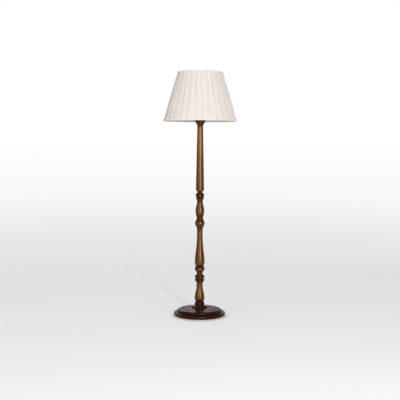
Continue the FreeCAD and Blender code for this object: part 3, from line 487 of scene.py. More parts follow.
# After each length's gloss comes how strongly its sides are darkened: painted shade.
POLE_FINISHES = {
    "lower_baluster": turned_walnut("walnut_lower_length", (0.058, 0.030), 0.31,
                                    WELL_RUBBED, 0.66, KNOT),
    "middle_baluster": turned_walnut("walnut_middle_length", (-0.046, 0.052), 1.27,
                                     WELL_RUBBED, 0.70),
    "upper_shaft": turned_walnut("walnut_upper_length", (0.038, 0.070), 2.13, SATIN, 0.85),
    "candle_cup": turned_walnut("walnut_cup", (-0.060, -0.020), 3.41, SATIN, 0.75),
}
print("walnut mixed for", ", ".join(POLE_FINISHES))

# %% [markdown]
# Dark polished mahogany.
#
# The base and the socket that holds the pole are stained almost black-brown and
# polished. A base disc is turned from a flat board, so its grain runs straight across
# the top instead of upwards: the tree axis lies level under the board. The polish is
# smoother than the pole's varnish, and mirrors the pale backdrop at a glancing angle.

# %% Dark polished mahogany
BOARD_RING = 0.0050
BOARD_FIBRE = (0.050, 0.0010, 0.0010)
BOARD_HEART = (0.035, -0.160)
MAHOGANY_DARK = (0.0170, 0.0042, 0.0028)
MAHOGANY_RED = (0.0460, 0.0095, 0.0045)
FIGURE_RANGE = (0.10, 0.55)
SMEAR = (0.020, 0.020, 0.020)
POLISH_ROUGHNESS = (0.24, 0.31)
POLISH_SHINE = 0.26
POLISH_TINT = (1.0, 0.66, 0.44, 1.0)
POLISH_DEPTH = 0.00005


def polished_mahogany(name, lying):
    """The dark finish; lying says that the grain runs level, along X."""
    material, tree, surface, place = new_finish(name)
    turned = place
    if lying:
        turned = add(tree, "ShaderNodeMapping",
                     {"Vector": place, "Rotation": (0, math.radians(90), 0)})
    rings = growth_rings(tree, turned, BOARD_HEART, 0.0, BOARD_RING, WANDER, WANDER_WIDTH)
    fibres = speckle(tree, place, BOARD_FIBRE if lying else FIBRE, detail=3.0)
    figure = maths(tree, "MULTIPLY", rings, fibres, clamp=True)
    wood = blend(tree, between(tree, figure, *FIGURE_RANGE), MAHOGANY_DARK, MAHOGANY_RED)
    smears = speckle(tree, place, SMEAR, detail=4.0)
    feed_sockets(tree, surface, {
        "Base Color": wood, "Specular IOR Level": POLISH_SHINE, "Specular Tint": POLISH_TINT,
        "Roughness": between(tree, smears, *GLOSS_SPREAD, *POLISH_ROUGHNESS)})
    relief(tree, surface, fibres, POLISH_DEPTH, strength=0.1)
    return material


# %% [markdown]
# Metals, mouldings and glass.
#
# The small fittings need small differences: brass has brushed turning marks and brown
# tarnish in patches, cast iron is grainy, the wires are dipped in white enamel that
# lies slightly uneven, the old moulded plastic is nearly black with a soft shine, and
# the bulb is white glass. Each finish is one short function.

# %% Metals
BRASS = (0.72, 0.48, 0.17)
BRASS_TARNISH = (0.36, 0.21, 0.075)
STEEL = (0.56, 0.57, 0.58)
STEEL_DULL = (0.34, 0.34, 0.34)
NICKEL = (0.70, 0.68, 0.64)
NICKEL_DULL = (0.45, 0.43, 0.40)
TURNING_MARKS = (0.020, 0.020, 0.0004)
MARK_DEPTH = 0.00003
TARNISH_PATCH = (0.012, 0.012, 0.012)
TARNISH_SPREAD = (0.45, 0.75)
ROUGH_SPREAD = (0.35, 0.75)


def bare_metal(name, bright, dull, smooth, rough):
    """Bright metal with turning marks round the axis and patches of tarnish."""
    material, tree, surface, place = new_finish(name)
    patches = speckle(tree, place, TARNISH_PATCH, detail=4.0)
    feed_sockets(tree, surface, {
        "Base Color": blend(tree, between(tree, patches, *TARNISH_SPREAD), bright, dull),
        "Metallic": 1.0, "Roughness": between(tree, patches, *ROUGH_SPREAD, smooth, rough)})
    relief(tree, surface, speckle(tree, place, TURNING_MARKS), MARK_DEPTH, strength=0.4)
    return material


def cast_iron(name):
    """Black paint over a sand-cast face."""
    material, tree, surface, place = new_finish(name)
    sand = speckle(tree, place, (0.0012, 0.0012, 0.0012), detail=5.0)
    rust = between(tree, speckle(tree, place, (0.015, 0.015, 0.015), detail=4.0), 0.58, 0.72)
    feed_sockets(tree, surface, {
        "Base Color": blend(tree, rust, (0.020, 0.020, 0.021), (0.085, 0.036, 0.018)),
        "Roughness": 0.68, "Metallic": 0.25})
    relief(tree, surface, sand, 0.0004, strength=0.7)
    return material


# %% Mouldings, enamel and glass
def clouded(name, grain, colour, second, looks, detail=2.0, crisp=0.5, spread=None,
            bumps=None):
    """Two colours mixed by cloudy noise; bumps is the depth and strength of its relief."""
    material, tree, surface, place = new_finish(name)
    clouds = speckle(tree, place, grain, detail, crisp)
    share = between(tree, clouds, *spread) if spread else clouds
    feed_sockets(tree, surface, {"Base Color": blend(tree, share, colour, second), **looks})
    if bumps:
        relief(tree, surface, clouds, *bumps)
    return material


def moulded(name, colour, swirl, roughness, coat):
    """A moulded plastic or rubber with faint flow marks."""
    return clouded(name, (0.004, 0.004, 0.009), colour, swirl,
                   {"Roughness": roughness, "Coat Weight": coat}, detail=3.0,
                   spread=(0.4, 0.75), bumps=(0.00005, 0.3))


def white_enamel(name):
    """Dipped enamel: ivory white, a little thicker here and there."""
    return clouded(name, (0.006, 0.006, 0.018), (0.80, 0.78, 0.73), (0.66, 0.62, 0.54),
                   {"Roughness": 0.32, "Coat Weight": 0.3}, spread=(0.4, 0.8),
                   bumps=(0.0001, 0.4))


def opal_glass(name):
    """White glass: bright right through, with a hard shine on the outside."""
    return clouded(name, (0.030, 0.030, 0.030), (0.86, 0.86, 0.84), (0.78, 0.78, 0.77),
                   {"Roughness": 0.12, "Coat Weight": 0.5, "Coat Roughness": 0.04})


print("small finishes ready")

# %% [markdown]
# Cloth.
#
# Two things make cloth look woven: the threads, which cross every third of a
# millimetre, and the slubs, thicker stretches of thread that run on for a few
# centimetres. The threads must follow the cloth and not the room, so each cloth piece
# carries an attribute called cloth_place: how far along the cloth a point lies, and
# how far up it, in metres. The weave is drawn on those two numbers. The colour drifts
# a little too, because dyed cloth always does, and a soft sheen stands for the fuzz.

# %% The woven finish
THREAD = 0.00036
SLUB = (0.045, 0.0011)
SLUB_RANGE = (0.55, 0.75)
SLUB_TINT = 0.22
WEAVE_TINT = 0.10
DYE_CLOUD = (0.060, 0.060, 0.090)
DYE_DRIFT = (0.35, 0.75, 0.0, 0.35)
CLOTH_ROUGHNESS = 0.86
CLOTH_SHINE = 0.25
FUZZ = 1.0
FUZZ_ROUGHNESS = 0.60
WEAVE_DEPTH = 0.00010


def woven(name, colour, shadow_colour, slub_depth=0.5, ribs=None):
    """Cloth on the piece's own cloth_place; ribs is the pitch of a ribbed tape."""
    material, tree, surface, place = new_finish(name)
    along = add(tree, "ShaderNodeAttribute", result="Vector", attribute_name="cloth_place",
                attribute_type="GEOMETRY")
    threads = []
    for direction, pitch in (("X", ribs or THREAD), ("Y", THREAD)):
        threads.append(add(tree, "ShaderNodeTexWave",
                           {"Vector": along, "Scale": WAVE_REPEAT / pitch}, result="Fac",
                           wave_type="BANDS", bands_direction=direction))
    weave = maths(tree, "MULTIPLY", threads[0], threads[1])
    slubs = speckle(tree, along, (*SLUB, 1.0), detail=1.0)
    slubs = between(tree, slubs, *SLUB_RANGE)
    drift = between(tree, speckle(tree, place, DYE_CLOUD, detail=3.0), *DYE_DRIFT)
    cloth = blend(tree, drift, colour, shadow_colour)
    for mark, tint in ((slubs, SLUB_TINT), (weave, WEAVE_TINT)):
        cloth = blend(tree, maths(tree, "MULTIPLY", mark, tint), cloth, shadow_colour)
    feed_sockets(tree, surface, {
        "Base Color": cloth, "Roughness": CLOTH_ROUGHNESS, "Sheen Weight": FUZZ,
        "Specular IOR Level": CLOTH_SHINE, "Sheen Roughness": FUZZ_ROUGHNESS})
    height = maths(tree, "MULTIPLY_ADD", slubs, slub_depth, weave)
    relief(tree, surface, height, WEAVE_DEPTH, strength=0.35)
    return material


def baize(name):
    """Pressed wool felt: no threads, only a matt tangle of fibres."""
    return clouded(name, (0.0009, 0.0009, 0.0009), (0.010, 0.040, 0.022),
                   (0.028, 0.085, 0.050), {"Roughness": 0.95, "Sheen Weight": 0.5},
                   detail=6.0, crisp=0.7, bumps=(0.0004, 0.8))


CREAM_SILK = woven("cream_pleat_cloth", (0.775, 0.715, 0.650), (0.705, 0.640, 0.570))
LINING_CLOTH = woven("ivory_lining_cloth", (0.880, 0.815, 0.715), (0.810, 0.730, 0.615), 0.2)
WHITE_TAPE = woven("white_ribbed_tape", (0.780, 0.765, 0.745), (0.700, 0.680, 0.650), 0.1,
                   ribs=0.0011)
CREAM_TAPE = woven("cream_ribbed_tape", (0.835, 0.785, 0.715), (0.740, 0.680, 0.600), 0.1,
                   ribs=0.0011)
print("cloths woven at", round(1000 * THREAD, 2), "mm to the thread")

# %% [markdown]
# The pleated cover.
#
# The cover is one long strip of cloth in box pleats. Follow one thread across a pleat:
# it starts in the middle of a valley, runs on behind the crest, folds back to the
# crest's edge, folds again and comes out on top to cross the crest; the other half is
# the mirror image. Every pleat takes the same width of cloth, so towards the foot, where
# the crests are wider, less cloth is left to lie hidden behind them.
#
# That is a rule, so the cover is made by Geometry Nodes. A flat grid stands for the
# strip: each column is a thread up the shade. Two drawn curves say where the thread
# lies across its pleat and how deep, and a third says how much of the hidden overlap it
# takes part in. The last steps wrap the strip round the cone, lift the crests a little
# and add the fine upright crinkles that the cloth has in the photograph.

# %% Helpers for rules
SOCKETS = {int: "NodeSocketInt", float: "NodeSocketFloat",
           bpy.types.Material: "NodeSocketMaterial"}


def new_rule(name, sizes):
    """An empty Geometry Nodes tree whose inputs carry the names of the sizes."""
    tree = bpy.data.node_groups.new(name, "GeometryNodeTree")
    tree.interface.new_socket("Geometry", in_out="OUTPUT", socket_type="NodeSocketGeometry")
    for label, size in sizes.items():
        tree.interface.new_socket(label, in_out="INPUT", socket_type=SOCKETS[type(size)])
    return tree, add(tree, "NodeGroupInput").node.outputs


def spot_at(tree, angle, radius, height):
    """The point at an angle, a radius and a height round the lamp's axis."""
    east = maths(tree, "MULTIPLY", maths(tree, "COSINE", angle), radius)
    north = maths(tree, "MULTIPLY", maths(tree, "SINE", angle), radius)
    return add(tree, "ShaderNodeCombineXYZ", {"X": east, "Y": north, "Z": height})


def chance(tree, seed, **more):
    """A random number from -1 to 1 for each point, or for each ID."""
    return add(tree, "FunctionNodeRandomValue", {2: -1.0, 3: 1.0, "Seed": seed, **more},
               result=1)


def close_rule(tree, geometry, material):
    """Ends a rule: the instances become real faces and take their material."""
    real = add(tree, "GeometryNodeRealizeInstances", {"Geometry": geometry})
    coloured = add(tree, "GeometryNodeSetMaterial", {"Geometry": real, "Material": material})
    smooth = add(tree, "GeometryNodeSetShadeSmooth", {"Geometry": coloured})
    add_output = tree.nodes.new("NodeGroupOutput")
    tree.links.new(smooth, add_output.inputs["Geometry"])


def made_by_rule(name, tree, sizes):
    """Runs a rule with these sizes and keeps the result as a plain mesh piece."""
    start = bpy.data.objects.new(name, bpy.data.meshes.new(name + "_start"))
    bpy.context.scene.collection.objects.link(start)
    modifier = start.modifiers.new("rule", "NODES")
    modifier.node_group = tree
    for item in tree.interface.items_tree:
        if item.in_out == "INPUT":
            modifier[item.identifier] = sizes[item.name]
    depsgraph = bpy.context.evaluated_depsgraph_get()
    mesh = bpy.data.meshes.new_from_object(start.evaluated_get(depsgraph),
                                           preserve_all_data_layers=True, depsgraph=depsgraph)
    start.modifiers.remove(modifier)
    start.data = mesh
    mesh.name = name
    print(name, "has", len(mesh.polygons), "faces")
    return start


def thicken(piece, thickness):
    """Gives a cloth its thickness, inwards from the face that shows."""
    wall = piece.modifiers.new("thickness", "SOLIDIFY")
    wall.thickness = thickness
    wall.offset = -1.0
    wall.use_even_offset = False


# %% The rule of the pleats
PLEATS = 30
SLOPE_HEIGHT = COVER_HIGH.z - COVER_LOW.z
MIDDLE_RADIUS = shade_radius((COVER_LOW.z + COVER_HIGH.z) / 2)
CRINKLE_GRAIN = (0.0065, 0.0065, 0.075)
CRINKLE_CRISPNESS = 0.55
CREST_DEPTHS = (0.5, 0.1)
COVER_THICKNESS = 0.00035
SAME_POINT = 0.00005
PLEAT_SIZES = {
    "Pleats": PLEATS,
    "Columns in a pleat": 32,
    "Rows": 36,
    "Foot radius": shade_radius(COVER_LOW.z) - TAPE_COVERS,
    "Top radius": shade_radius(COVER_HIGH.z) - TAPE_COVERS,
    "Foot height": COVER_LOW.z,
    "Height": SLOPE_HEIGHT,
    "Cloth in a pleat": 0.0620,
    "Pleat depth": 0.0030,
    "First valley": math.radians(-87.4 + 180.0),
    "Crown": 0.0011,
    "Slant": 0.0016,
    "Crinkle": 0.0018,
    "Seed": 7,
    "Cloth": CREAM_SILK,
}


def pleated_cover_rule():
    tree, size = new_rule("pleated_cover_rule", PLEAT_SIZES)
    times, plus, minus, over, times_plus = arithmetic(tree)
    columns = times_plus(size["Pleats"], size["Columns in a pleat"], 1.0)
    grid = add(tree, "GeometryNodeMeshGrid", {"Size X": 1.0, "Size Y": 1.0,
                                              "Vertices X": columns,
                                              "Vertices Y": size["Rows"]})
    spot = add(tree, "GeometryNodeInputPosition")
    spot = add(tree, "ShaderNodeSeparateXYZ", {"Vector": spot}).node.outputs
    strip = times(plus(spot["X"], 0.5), size["Pleats"])
    rise = plus(spot["Y"], 0.5)
    pleat = maths(tree, "FLOOR", strip)
    within = maths(tree, "FRACT", strip)
    side = maths(tree, "SIGN", minus(within, 0.5))
    half = minus(1.0, maths(tree, "ABSOLUTE", times_plus(within, 2.0, -1.0)))

    across = curve_through(tree, half, [(0, 0), (0.25, 0.23), (0.3125, 0.235), (0.5, 0.23),
                                        (0.5625, 0.215), (0.625, 0.25), (1, 1)], (4,))
    overlap = curve_through(tree, half, [(0, 0), (0.25, 0.96), (0.28125, 1), (0.3125, 0.96),
                                         (0.5, 0), (1, 0)], (2,))
    deep = curve_through(tree, half, [(0, 1), (0.25, 1), (0.28125, 0.86), (0.3125, 0.66),
                                      (0.5, 0.50), (0.5625, 0.24), (0.625, 0.06),
                                      (0.6875, 0), (1, 0)], (5, 6, 7))
    crest = curve_through(tree, half, [(0, 0), (0.5625, 0), (0.8125, 0.75), (1, 1)], (1, 2))

    radius = times_plus(rise, minus(size["Top radius"], size["Foot radius"]),
                        size["Foot radius"])
    half_pitch = over(times(radius, math.pi), size["Pleats"])
    cloth_left = over(times(size["Cloth in a pleat"], 0.5), half_pitch)
    hidden = times(minus(cloth_left, 1.0), 0.5)
    share = times_plus(hidden, overlap, across)

    wrapped = maths(tree, "MODULO", pleat, size["Pleats"])
    luck = chance(tree, size["Seed"], ID=wrapped)
    lean = chance(tree, plus(size["Seed"], 1.0), ID=wrapped)
    shift = times_plus(lean, minus(rise, 0.5), luck)
    shift = over(times(shift, times(half, size["Slant"])), radius)

    offset = minus(0.5, times(share, 0.5))
    turns = over(plus(pleat, times_plus(side, offset, 0.5)), size["Pleats"])
    angle = plus(times_plus(turns, math.tau, size["First valley"]), shift)
    height = times_plus(rise, size["Height"], size["Foot height"])

    held = maths(tree, "SINE", times(rise, math.pi))
    swell = times(times(crest, held), size["Crown"])
    crinkle = speckle(tree, spot_at(tree, angle, radius, height), CRINKLE_GRAIN,
                      roughness=CRINKLE_CRISPNESS)
    crinkle = times(minus(crinkle, 0.5), size["Crinkle"])
    crinkle = times(crinkle, times(between(tree, deep, *CREST_DEPTHS), held))
    radius = minus(radius, times(deep, size["Pleat depth"]))
    radius = plus(radius, plus(swell, crinkle))

    thread = add(tree, "ShaderNodeCombineXYZ", {"X": times(turns, math.tau * MIDDLE_RADIUS),
                                                "Y": times(rise, SLOPE_HEIGHT)})
    named = add(tree, "GeometryNodeStoreNamedAttribute",
                {"Geometry": grid, "Name": "cloth_place", "Value": thread},
                data_type="FLOAT_VECTOR", domain="POINT")
    bent = add(tree, "GeometryNodeSetPosition",
               {"Geometry": named, "Position": spot_at(tree, angle, radius, height)})
    joined = add(tree, "GeometryNodeMergeByDistance", {"Geometry": bent,
                                                        "Distance": SAME_POINT})
    close_rule(tree, joined, size["Cloth"])
    return tree


cover = made_by_rule("pleated_cover", pleated_cover_rule(), PLEAT_SIZES)
thicken(cover, COVER_THICKNESS)
fit(cover, "shade", "shade_cover")

# %% [markdown]
# Turned and wrapped shapes.
#
# The lining, the tapes and the felt are all one outline carried round the lamp's axis.
# A short function does it: it sets out the outline at every step of the turn, joins the
# steps with faces and closes the ring. Each outline runs so that the faces look
# outwards, and each point also notes its place on the cloth. A ripple function may push
# points in or out, because no cloth lies perfectly round.

# %% Carry an outline round the axis
SHARP_ANGLE = math.radians(50)


def carried_round(name, outline, steps, finish, ripple=None, closed=False):
    """A piece from (radius, height) points, in order, and steps round the axis."""
    points = []
    places = []
    along = 0.0
    before = outline[0]
    for radius, height in outline:
        along += math.dist(before, (radius, height))
        before = (radius, height)
        for step in range(steps):
            angle = math.tau * step / steps
            out = radius + (ripple(angle, height) if ripple else 0.0)
            points.append((out * math.cos(angle), out * math.sin(angle), height))
            places.append((angle * outline[0][0], along, 0.0))
    rows = len(outline)
    faces = []
    for row in range(rows if closed else rows - 1):
        low = row * steps
        high = (row + 1) % rows * steps
        for step in range(steps):
            after = (step + 1) % steps
            faces.append((low + step, low + after, high + after, high + step))
    mesh = bpy.data.meshes.new(name)
    mesh.from_pydata(points, [], faces)
    mesh.shade_smooth()
    mesh.set_sharp_from_angle(angle=SHARP_ANGLE)
    spot = mesh.attributes.new("cloth_place", "FLOAT_VECTOR", "POINT")
    for number, place in enumerate(places):
        spot.data[number].vector = place
    mesh.materials.append(finish)
    piece = bpy.data.objects.new(name, mesh)
    bpy.context.scene.collection.objects.link(piece)
    print(name, "has", len(mesh.polygons), "faces")
    return piece


def corner(centre, radius, start, end, steps=5):
    """Points on a small arc of an outline, for a soft edge; angles in degrees."""
    found = []
    for step in range(steps + 1):
        angle = math.radians(start + (end - start) * step / steps)
        found.append((centre[0] + radius * math.cos(angle),
                      centre[1] + radius * math.sin(angle)))
    return found


def even_rise(low, high, count):
    return [low + (high - low) * step / (count - 1) for step in range(count)]


# %% [markdown]
# The lining.
#
# Inside the wires hangs a smooth ivory lining. It is stretched from the top hoop to the
# bottom one, so it draws in slightly between them, and it shows faint upright tension
# folds. Its top edge is rolled over in a narrow hem just under the arms of the spider.

# %% Line the shade
LINING_DEPTH = shade_radius(LINING_LOW.z) - LINING_HIGH.x
LINING_SAG = 0.0012
LINING_FOLDS = 40
FOLD_DEPTH = 0.0004
LINING_ROWS = 26
LINING_STEPS = 320
LINING_THICKNESS = 0.0003
HEM_RADIUS = 0.0008


def lining_radius(height):
    return shade_radius(height) - LINING_DEPTH


def lining_ripple(angle, height):
    """Drawn in at half height, with shallow folds that fade at both edges."""
    share = (height - LINING_LOW.z) / (LINING_HIGH.z - LINING_LOW.z)
    held = math.sin(math.pi * min(max(share, 0.0), 1.0))
    folds = math.sin(LINING_FOLDS * angle + 1.5 * math.sin(3 * angle))
    return -held * (LINING_SAG + FOLD_DEPTH * (1.0 + folds))


lining_outline = [
    (lining_radius(height), height)
    for height in even_rise(LINING_HIGH.z - 2 * HEM_RADIUS, LINING_LOW.z, LINING_ROWS)]
hem_centre = (lining_radius(LINING_HIGH.z) - HEM_RADIUS, LINING_HIGH.z - HEM_RADIUS)
lining_outline = corner(hem_centre, HEM_RADIUS * 0.8, 250, 0, 8) + lining_outline
lining = carried_round("lining", lining_outline, LINING_STEPS, LINING_CLOTH, lining_ripple)
thicken(lining, LINING_THICKNESS)
fit(lining, "shade", "shade_lining")

# %% [markdown]
# The tapes.
#
# A ribbed white tape is folded over each edge of the shade. It starts flat on the
# pleats, turns over the rim and ends against the lining. On top of the pleats it can't
# lie quite flat: it rises over each crest and dips at each valley by a few tenths of a
# millimetre.

# %% Bind the edges
TAPE_THICKNESS = 0.0005
TAPE_EDGE_ROUND = 0.0008
TAPE_DIP = 0.00035
DIP_REACH = 0.16
RIM_LEAN = 18
TAPE_STEPS = 720


def tape_ripple(angle, height):
    """Dips where a valley lies under the tape."""
    turn = (angle - PLEAT_SIZES["First valley"]) / math.tau * PLEATS
    off_valley = abs(turn - round(turn))
    return -TAPE_DIP * max(0.0, 1.0 - off_valley / DIP_REACH) ** 2


def tape_outline(rim, band_edge, inner_depth):
    """From the band's free edge over the rim to the inner edge."""
    inward = -1 if band_edge < rim else 1
    turn = rim + inward * TAPE_EDGE_ROUND
    band = [(shade_radius(height), height) for height in even_rise(band_edge, turn, 7)]
    centre = (shade_radius(rim) - TAPE_EDGE_ROUND, turn)
    bend = corner(centre, TAPE_EDGE_ROUND, -inward * RIM_LEAN, -inward * 90)
    across = [(shade_radius(rim) - depth, rim)
              for depth in even_rise(3 * TAPE_EDGE_ROUND, inner_depth, 6)]
    return band + bend + across


def bind_edge(name, rim, band_edge, node, finish):
    inner_depth = LINING_DEPTH + HEM_RADIUS
    outline = tape_outline(rim, band_edge, inner_depth)
    if band_edge > rim:
        outline.reverse()
    tape = carried_round(name, outline, TAPE_STEPS, finish, tape_ripple)
    thicken(tape, TAPE_THICKNESS)
    fit(tape, "shade", node)
    return tape, sum(math.dist(a, b) for a, b in zip(outline, outline[1:]))


top_tape, top_tape_width = bind_edge("top_tape", SHADE_TOP, TOP_TAPE_LOW.z, "top_binding",
                                     WHITE_TAPE)
foot_tape, foot_tape_width = bind_edge("foot_tape", SHADE_FOOT, FOOT_TAPE_HIGH.z,
                                       "bottom_binding", CREAM_TAPE)
print("tapes", round(1000 * top_tape_width, 1), "and", round(1000 * foot_tape_width, 1),
      "mm wide when flat")

# %% [markdown]
# Stitches and solder.
#
# Small things that repeat round a ring are one rule used several times: the stitches
# that hold the tapes, and the beads of solder where the spider's arms meet the hoop and
# the band. The rule sets points on a circle, turns a small rounded grain to face along
# it at each point, and lets each grain differ a little in size and direction.

# %% The rule of small parts round a ring
GRAIN_RINGS = 4
GRAIN_GROWTH = 0.12


def ring_of_grains_rule(sizes):
    tree, size = new_rule("ring_of_grains_rule", sizes)
    circle = add(tree, "GeometryNodeMeshCircle", {"Vertices": size["Count"],
                                                  "Radius": size["Ring radius"]})
    step = maths(tree, "DIVIDE", math.tau, size["Count"])
    number = add(tree, "GeometryNodeInputIndex")
    angle = maths(tree, "MULTIPLY_ADD", number, step, size["First at"])
    spot = spot_at(tree, angle, size["Ring radius"], size["Height"])
    placed = add(tree, "GeometryNodeSetPosition", {"Geometry": circle, "Position": spot})
    grain = add(tree, "GeometryNodeMeshUVSphere", {"Segments": size["Sides"],
                                                   "Rings": GRAIN_RINGS, "Radius": 0.5})
    body = add(tree, "ShaderNodeCombineXYZ", {"X": size["Thickness"], "Y": size["Length"],
                                              "Z": size["Width"]})
    shaped = add(tree, "GeometryNodeTransform", {"Geometry": grain, "Scale": body})
    wobble = chance(tree, size["Seed"])
    tilt = maths(tree, "MULTIPLY", wobble, size["Wobble"])
    turn = add(tree, "ShaderNodeCombineXYZ", {"X": tilt, "Y": size["Lean"], "Z": angle})
    growth = maths(tree, "MULTIPLY_ADD", wobble, GRAIN_GROWTH, 1.0)
    grains = add(tree, "GeometryNodeInstanceOnPoints",
                 {"Points": placed, "Instance": shaped, "Rotation": turn, "Scale": growth})
    close_rule(tree, grains, size["Finish"])
    return tree


SLANT_ANGLE = math.atan(-SHADE_LEAN)
STITCH = {
    "Count": 220,
    "Sides": 6,
    "Ring radius": 0.0,
    "Height": 0.0,
    "First at": 0.0,
    "Length": 0.0027,
    "Width": 0.00055,
    "Thickness": 0.0005,
    "Lean": -SLANT_ANGLE,
    "Wobble": 0.10,
    "Seed": 3,
    "Finish": WHITE_TAPE,
}
RING_RULE = ring_of_grains_rule(STITCH)


def ring_of(name, body, changes):
    """One use of the rule: the stitch's sizes, with some changed."""
    piece = made_by_rule(name, RING_RULE, {**STITCH, **changes})
    fit(piece, body)
    return piece


STITCH_FROM_EDGE = 0.0016
STITCH_PITCH = 0.0042


def stitched(name, line, **changes):
    """Stitches round the shade along one line, which hold a tape's free edge."""
    radius = shade_radius(line)
    count = round(math.tau * radius / STITCH_PITCH)
    return ring_of(name, "shade", {"Count": count, "Ring radius": radius,
                                           "Height": line, **changes})


top_stitches = stitched("top_tape_stitches", TOP_TAPE_LOW.z + STITCH_FROM_EDGE)
foot_stitches = stitched("foot_tape_stitches", FOOT_TAPE_HIGH.z - STITCH_FROM_EDGE, Seed=11,
                         Finish=CREAM_TAPE)

# %% [markdown]
#
# Cloth hardly stretches. The cover was cut as a straight strip: thirty pleats' worth of
# cloth, as long as the slope of the shade. The lining was cut as a flat strip too, as
# long as the mean circle.

# %% [markdown]
# The felt.
#
# A disc of green baize is glued under the base so that the lamp doesn't mark the floor.
# It was cut with scissors, so its edge wavers by a fraction of a millimetre, and its
# corners are soft.

# %% Cut the felt
FELT_LOW, FELT_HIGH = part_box("felt_pad")
FELT_ROUND = 0.0006
SCISSOR_WAVER = 0.0002
FELT_RADIUS = FELT_HIGH.x - 2 * SCISSOR_WAVER
FELT_MIDDLE = 0.004
FELT_ROWS = 6


def scissor_edge(angle, height):
    return SCISSOR_WAVER * (math.sin(17 * angle) + math.sin(29 * angle + 1.0))


def felt_outline():
    """Round from the middle of the underside, up the edge and back along the top."""
    side = FELT_RADIUS - FELT_ROUND
    under = [(FELT_MIDDLE + (side - FELT_MIDDLE) * step / FELT_ROWS, FELT_LOW.z)
             for step in range(FELT_ROWS)]
    edge = corner((side, FELT_LOW.z + FELT_ROUND), FELT_ROUND, -90, 0, 4)
    edge += corner((side, FELT_HIGH.z - FELT_ROUND), FELT_ROUND, 0, 90, 4)
    over = [(side - (side - FELT_MIDDLE) * step / FELT_ROWS, FELT_HIGH.z)
            for step in range(1, FELT_ROWS + 1)]
    return under + edge + over


felt = carried_round("felt_disc", felt_outline(), 240, baize("green_baize"), scissor_edge,
                     closed=True)
fit(felt, "stand", "felt_pad")

# %% [markdown]
# Screw threads.
#
# The bulb's cap and the outside of the holder carry a rounded thread. A thread is a
# ripple in the radius that moves up by one pitch in each turn, so a tube whose radius
# follows a sine of height and angle together is already a thread. It fades out at both
# ends, as a rolled thread does. It is cut inwards from the frame's plain cylinder, so
# that nothing that turns round it can touch it.

# %% Roll the threads
ROWS_IN_A_TURN = 8
STEPS_IN_A_TURN = 72


def thread_ripple(pitch, depth, low, high):
    """A ripple function for a rolled thread that fades at its ends."""
    def ripple(angle, height):
        fade = min(1.0, max(0.0, (height - low) / pitch), max(0.0, (high - height) / pitch))
        wave = 0.5 - 0.5 * math.cos(math.tau * height / pitch - angle)
        return -depth * wave * fade
    return ripple


def rolled_thread(name, node, outline, low, high, pitch, depth, finish, body):
    """A turned sleeve whose outline is given up to the thread's foot, with the thread."""
    rows = round((high - low) / pitch * ROWS_IN_A_TURN)
    radius = outline[-1][0]
    outline = outline + [(radius, height) for height in even_rise(low, high, rows)]
    sleeve = carried_round(name, outline, STEPS_IN_A_TURN, finish,
                           thread_ripple(pitch, depth, low, high), closed=True)
    fit(sleeve, body, node)


brass = bare_metal("spun_brass", BRASS, BRASS_TARNISH, 0.22, 0.42)
nickel = bare_metal("nickel_plate", NICKEL, NICKEL_DULL, 0.20, 0.36)
CAP_LOW, CAP_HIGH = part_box("bulb_cap")
CAP_CONE = 0.003
CAP_WALL = 0.0022
BULB_PITCH = 0.00362
BULB_THREAD_DEPTH = 0.0011
cap_foot = CAP_LOW.z + CAP_CONE
cap_inner = CAP_HIGH.x - CAP_WALL
rolled_thread(
    "bulb_cap_thread", "bulb_cap",
    [(cap_inner, CAP_HIGH.z), (cap_inner, cap_foot), (CAP_HIGH.x, cap_foot)],
    cap_foot, CAP_HIGH.z, BULB_PITCH, BULB_THREAD_DEPTH, nickel, "bulb")

SKIRT_LOW, SKIRT_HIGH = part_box("holder_skirt")
SKIRT_RADIUS = 0.0197
SKIRT_WALL = 0.0010
SKIRT_FLANGE = 0.0020
SKIRT_ROUND = 0.0005
SKIRT_PITCH = 0.0025
SKIRT_THREAD_DEPTH = 0.0006
skirt_inner = SKIRT_RADIUS - SKIRT_WALL
skirt_edge = SKIRT_HIGH.x - SKIRT_ROUND
flange_top = SKIRT_LOW.z + SKIRT_FLANGE
skirt_outline = [(skirt_inner, SKIRT_HIGH.z), (skirt_inner, SKIRT_LOW.z)]
skirt_outline += corner((skirt_edge, SKIRT_LOW.z + SKIRT_ROUND), SKIRT_ROUND, -90, 0)
skirt_outline += corner((skirt_edge, flange_top - SKIRT_ROUND), SKIRT_ROUND, 0, 90)
skirt_outline += [(SKIRT_RADIUS, flange_top)]
rolled_thread("holder_skirt_thread", "holder_skirt", skirt_outline,
              flange_top + SKIRT_PITCH, SKIRT_HIGH.z, SKIRT_PITCH, SKIRT_THREAD_DEPTH,
              brass, "stand")

# %% Press the cone of the bulb's cap
CONE_HOLE = 0.0004
CONE_TIP = 0.0050
CONE_EDGE = 0.0006
CONE_INSET = 0.0014
cap_cone = carried_round(
    "bulb_cap_cone", [(CONE_HOLE, CAP_LOW.z), (CONE_TIP, CAP_LOW.z),
                      (CONE_TIP + CONE_EDGE, CAP_LOW.z + CONE_HOLE),
                      (CAP_HIGH.x - CONE_INSET, CAP_LOW.z + CAP_CONE),
                      (CONE_HOLE, CAP_LOW.z + CAP_CONE)], 48,
    moulded("black_cap_glass", (0.012, 0.012, 0.016), (0.03, 0.03, 0.04), 0.12, 0.5),
    closed=True)
fit(cap_cone, "bulb")

# %% [markdown]
# Give every hard piece its finish.
#
# Each piece of the frame came with the name of the material it is made of. The pole's
# lengths and the socket have finishes of their own; every other piece takes the one for
# its material.

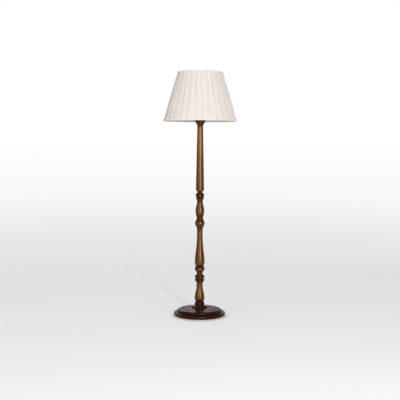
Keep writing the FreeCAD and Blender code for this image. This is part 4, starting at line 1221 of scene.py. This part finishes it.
# %% Finish the hard pieces
FINISHES = {
    "mahogany": polished_mahogany("mahogany_board", lying=True),
    "iron": cast_iron("cast_iron"),
    "steel": bare_metal("zinc_steel", STEEL, STEEL_DULL, 0.28, 0.45),
    "brass": brass,
    "rubber": moulded("brown_rubber", (0.030, 0.016, 0.010), (0.045, 0.026, 0.018), 0.6, 0.0),
    "phenolic": moulded("brown_phenolic", (0.022, 0.010, 0.006), (0.055, 0.024, 0.012), 0.3,
                        0.3),
    "switch_plastic": moulded("cream_bar", (0.62, 0.55, 0.42), (0.52, 0.44, 0.32), 0.35, 0.2),
    "solder": bare_metal("solder", (0.55, 0.55, 0.56), (0.35, 0.35, 0.36), 0.35, 0.55),
    "bulb_metal": nickel,
    "opal_glass": opal_glass("opal_glass"),
    "white_metal": white_enamel("white_enamel"),
}
OWN_FINISHES = {**POLE_FINISHES,
                "pole_socket": polished_mahogany("mahogany_socket", lying=False)}

for name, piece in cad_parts.items():
    made_of = piece.data.materials[0].name
    finish = OWN_FINISHES.get(name, FINISHES.get(made_of))
    if finish:
        piece.data.materials[0] = finish
print("finished", len(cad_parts), "pieces of the frame")

# %% Beads of solder on the spider
HOOP_LOW, HOOP_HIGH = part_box("shade_top_ring")
SPIDER_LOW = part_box("shade_spider")[0]
HOOP_WIRE = (HOOP_HIGH.z - HOOP_LOW.z) / 2
BAND_OUTER = 0.0494
BAND_HEIGHT = 0.0050
BEAD_PROUD = 0.0006
BEAD_RAISED = 0.0004
BEAD = {"Count": 4, "Sides": 10, "Length": 0.0052, "Width": 0.0046, "Thickness": 0.0050,
        "Lean": 0.0, "Wobble": 0.3, "Finish": FINISHES["white_metal"]}
ring_of("hoop_joints", "shade",
        {**BEAD, "Ring radius": HOOP_HIGH.x - 2 * HOOP_WIRE,
         "Height": HOOP_HIGH.z - 1.5 * HOOP_WIRE, "Seed": 5})
ring_of("band_joints", "shade",
        {**BEAD, "Ring radius": BAND_OUTER + BEAD_PROUD,
         "Height": SPIDER_LOW.z + BAND_HEIGHT / 2 + BEAD_RAISED, "Seed": 9})
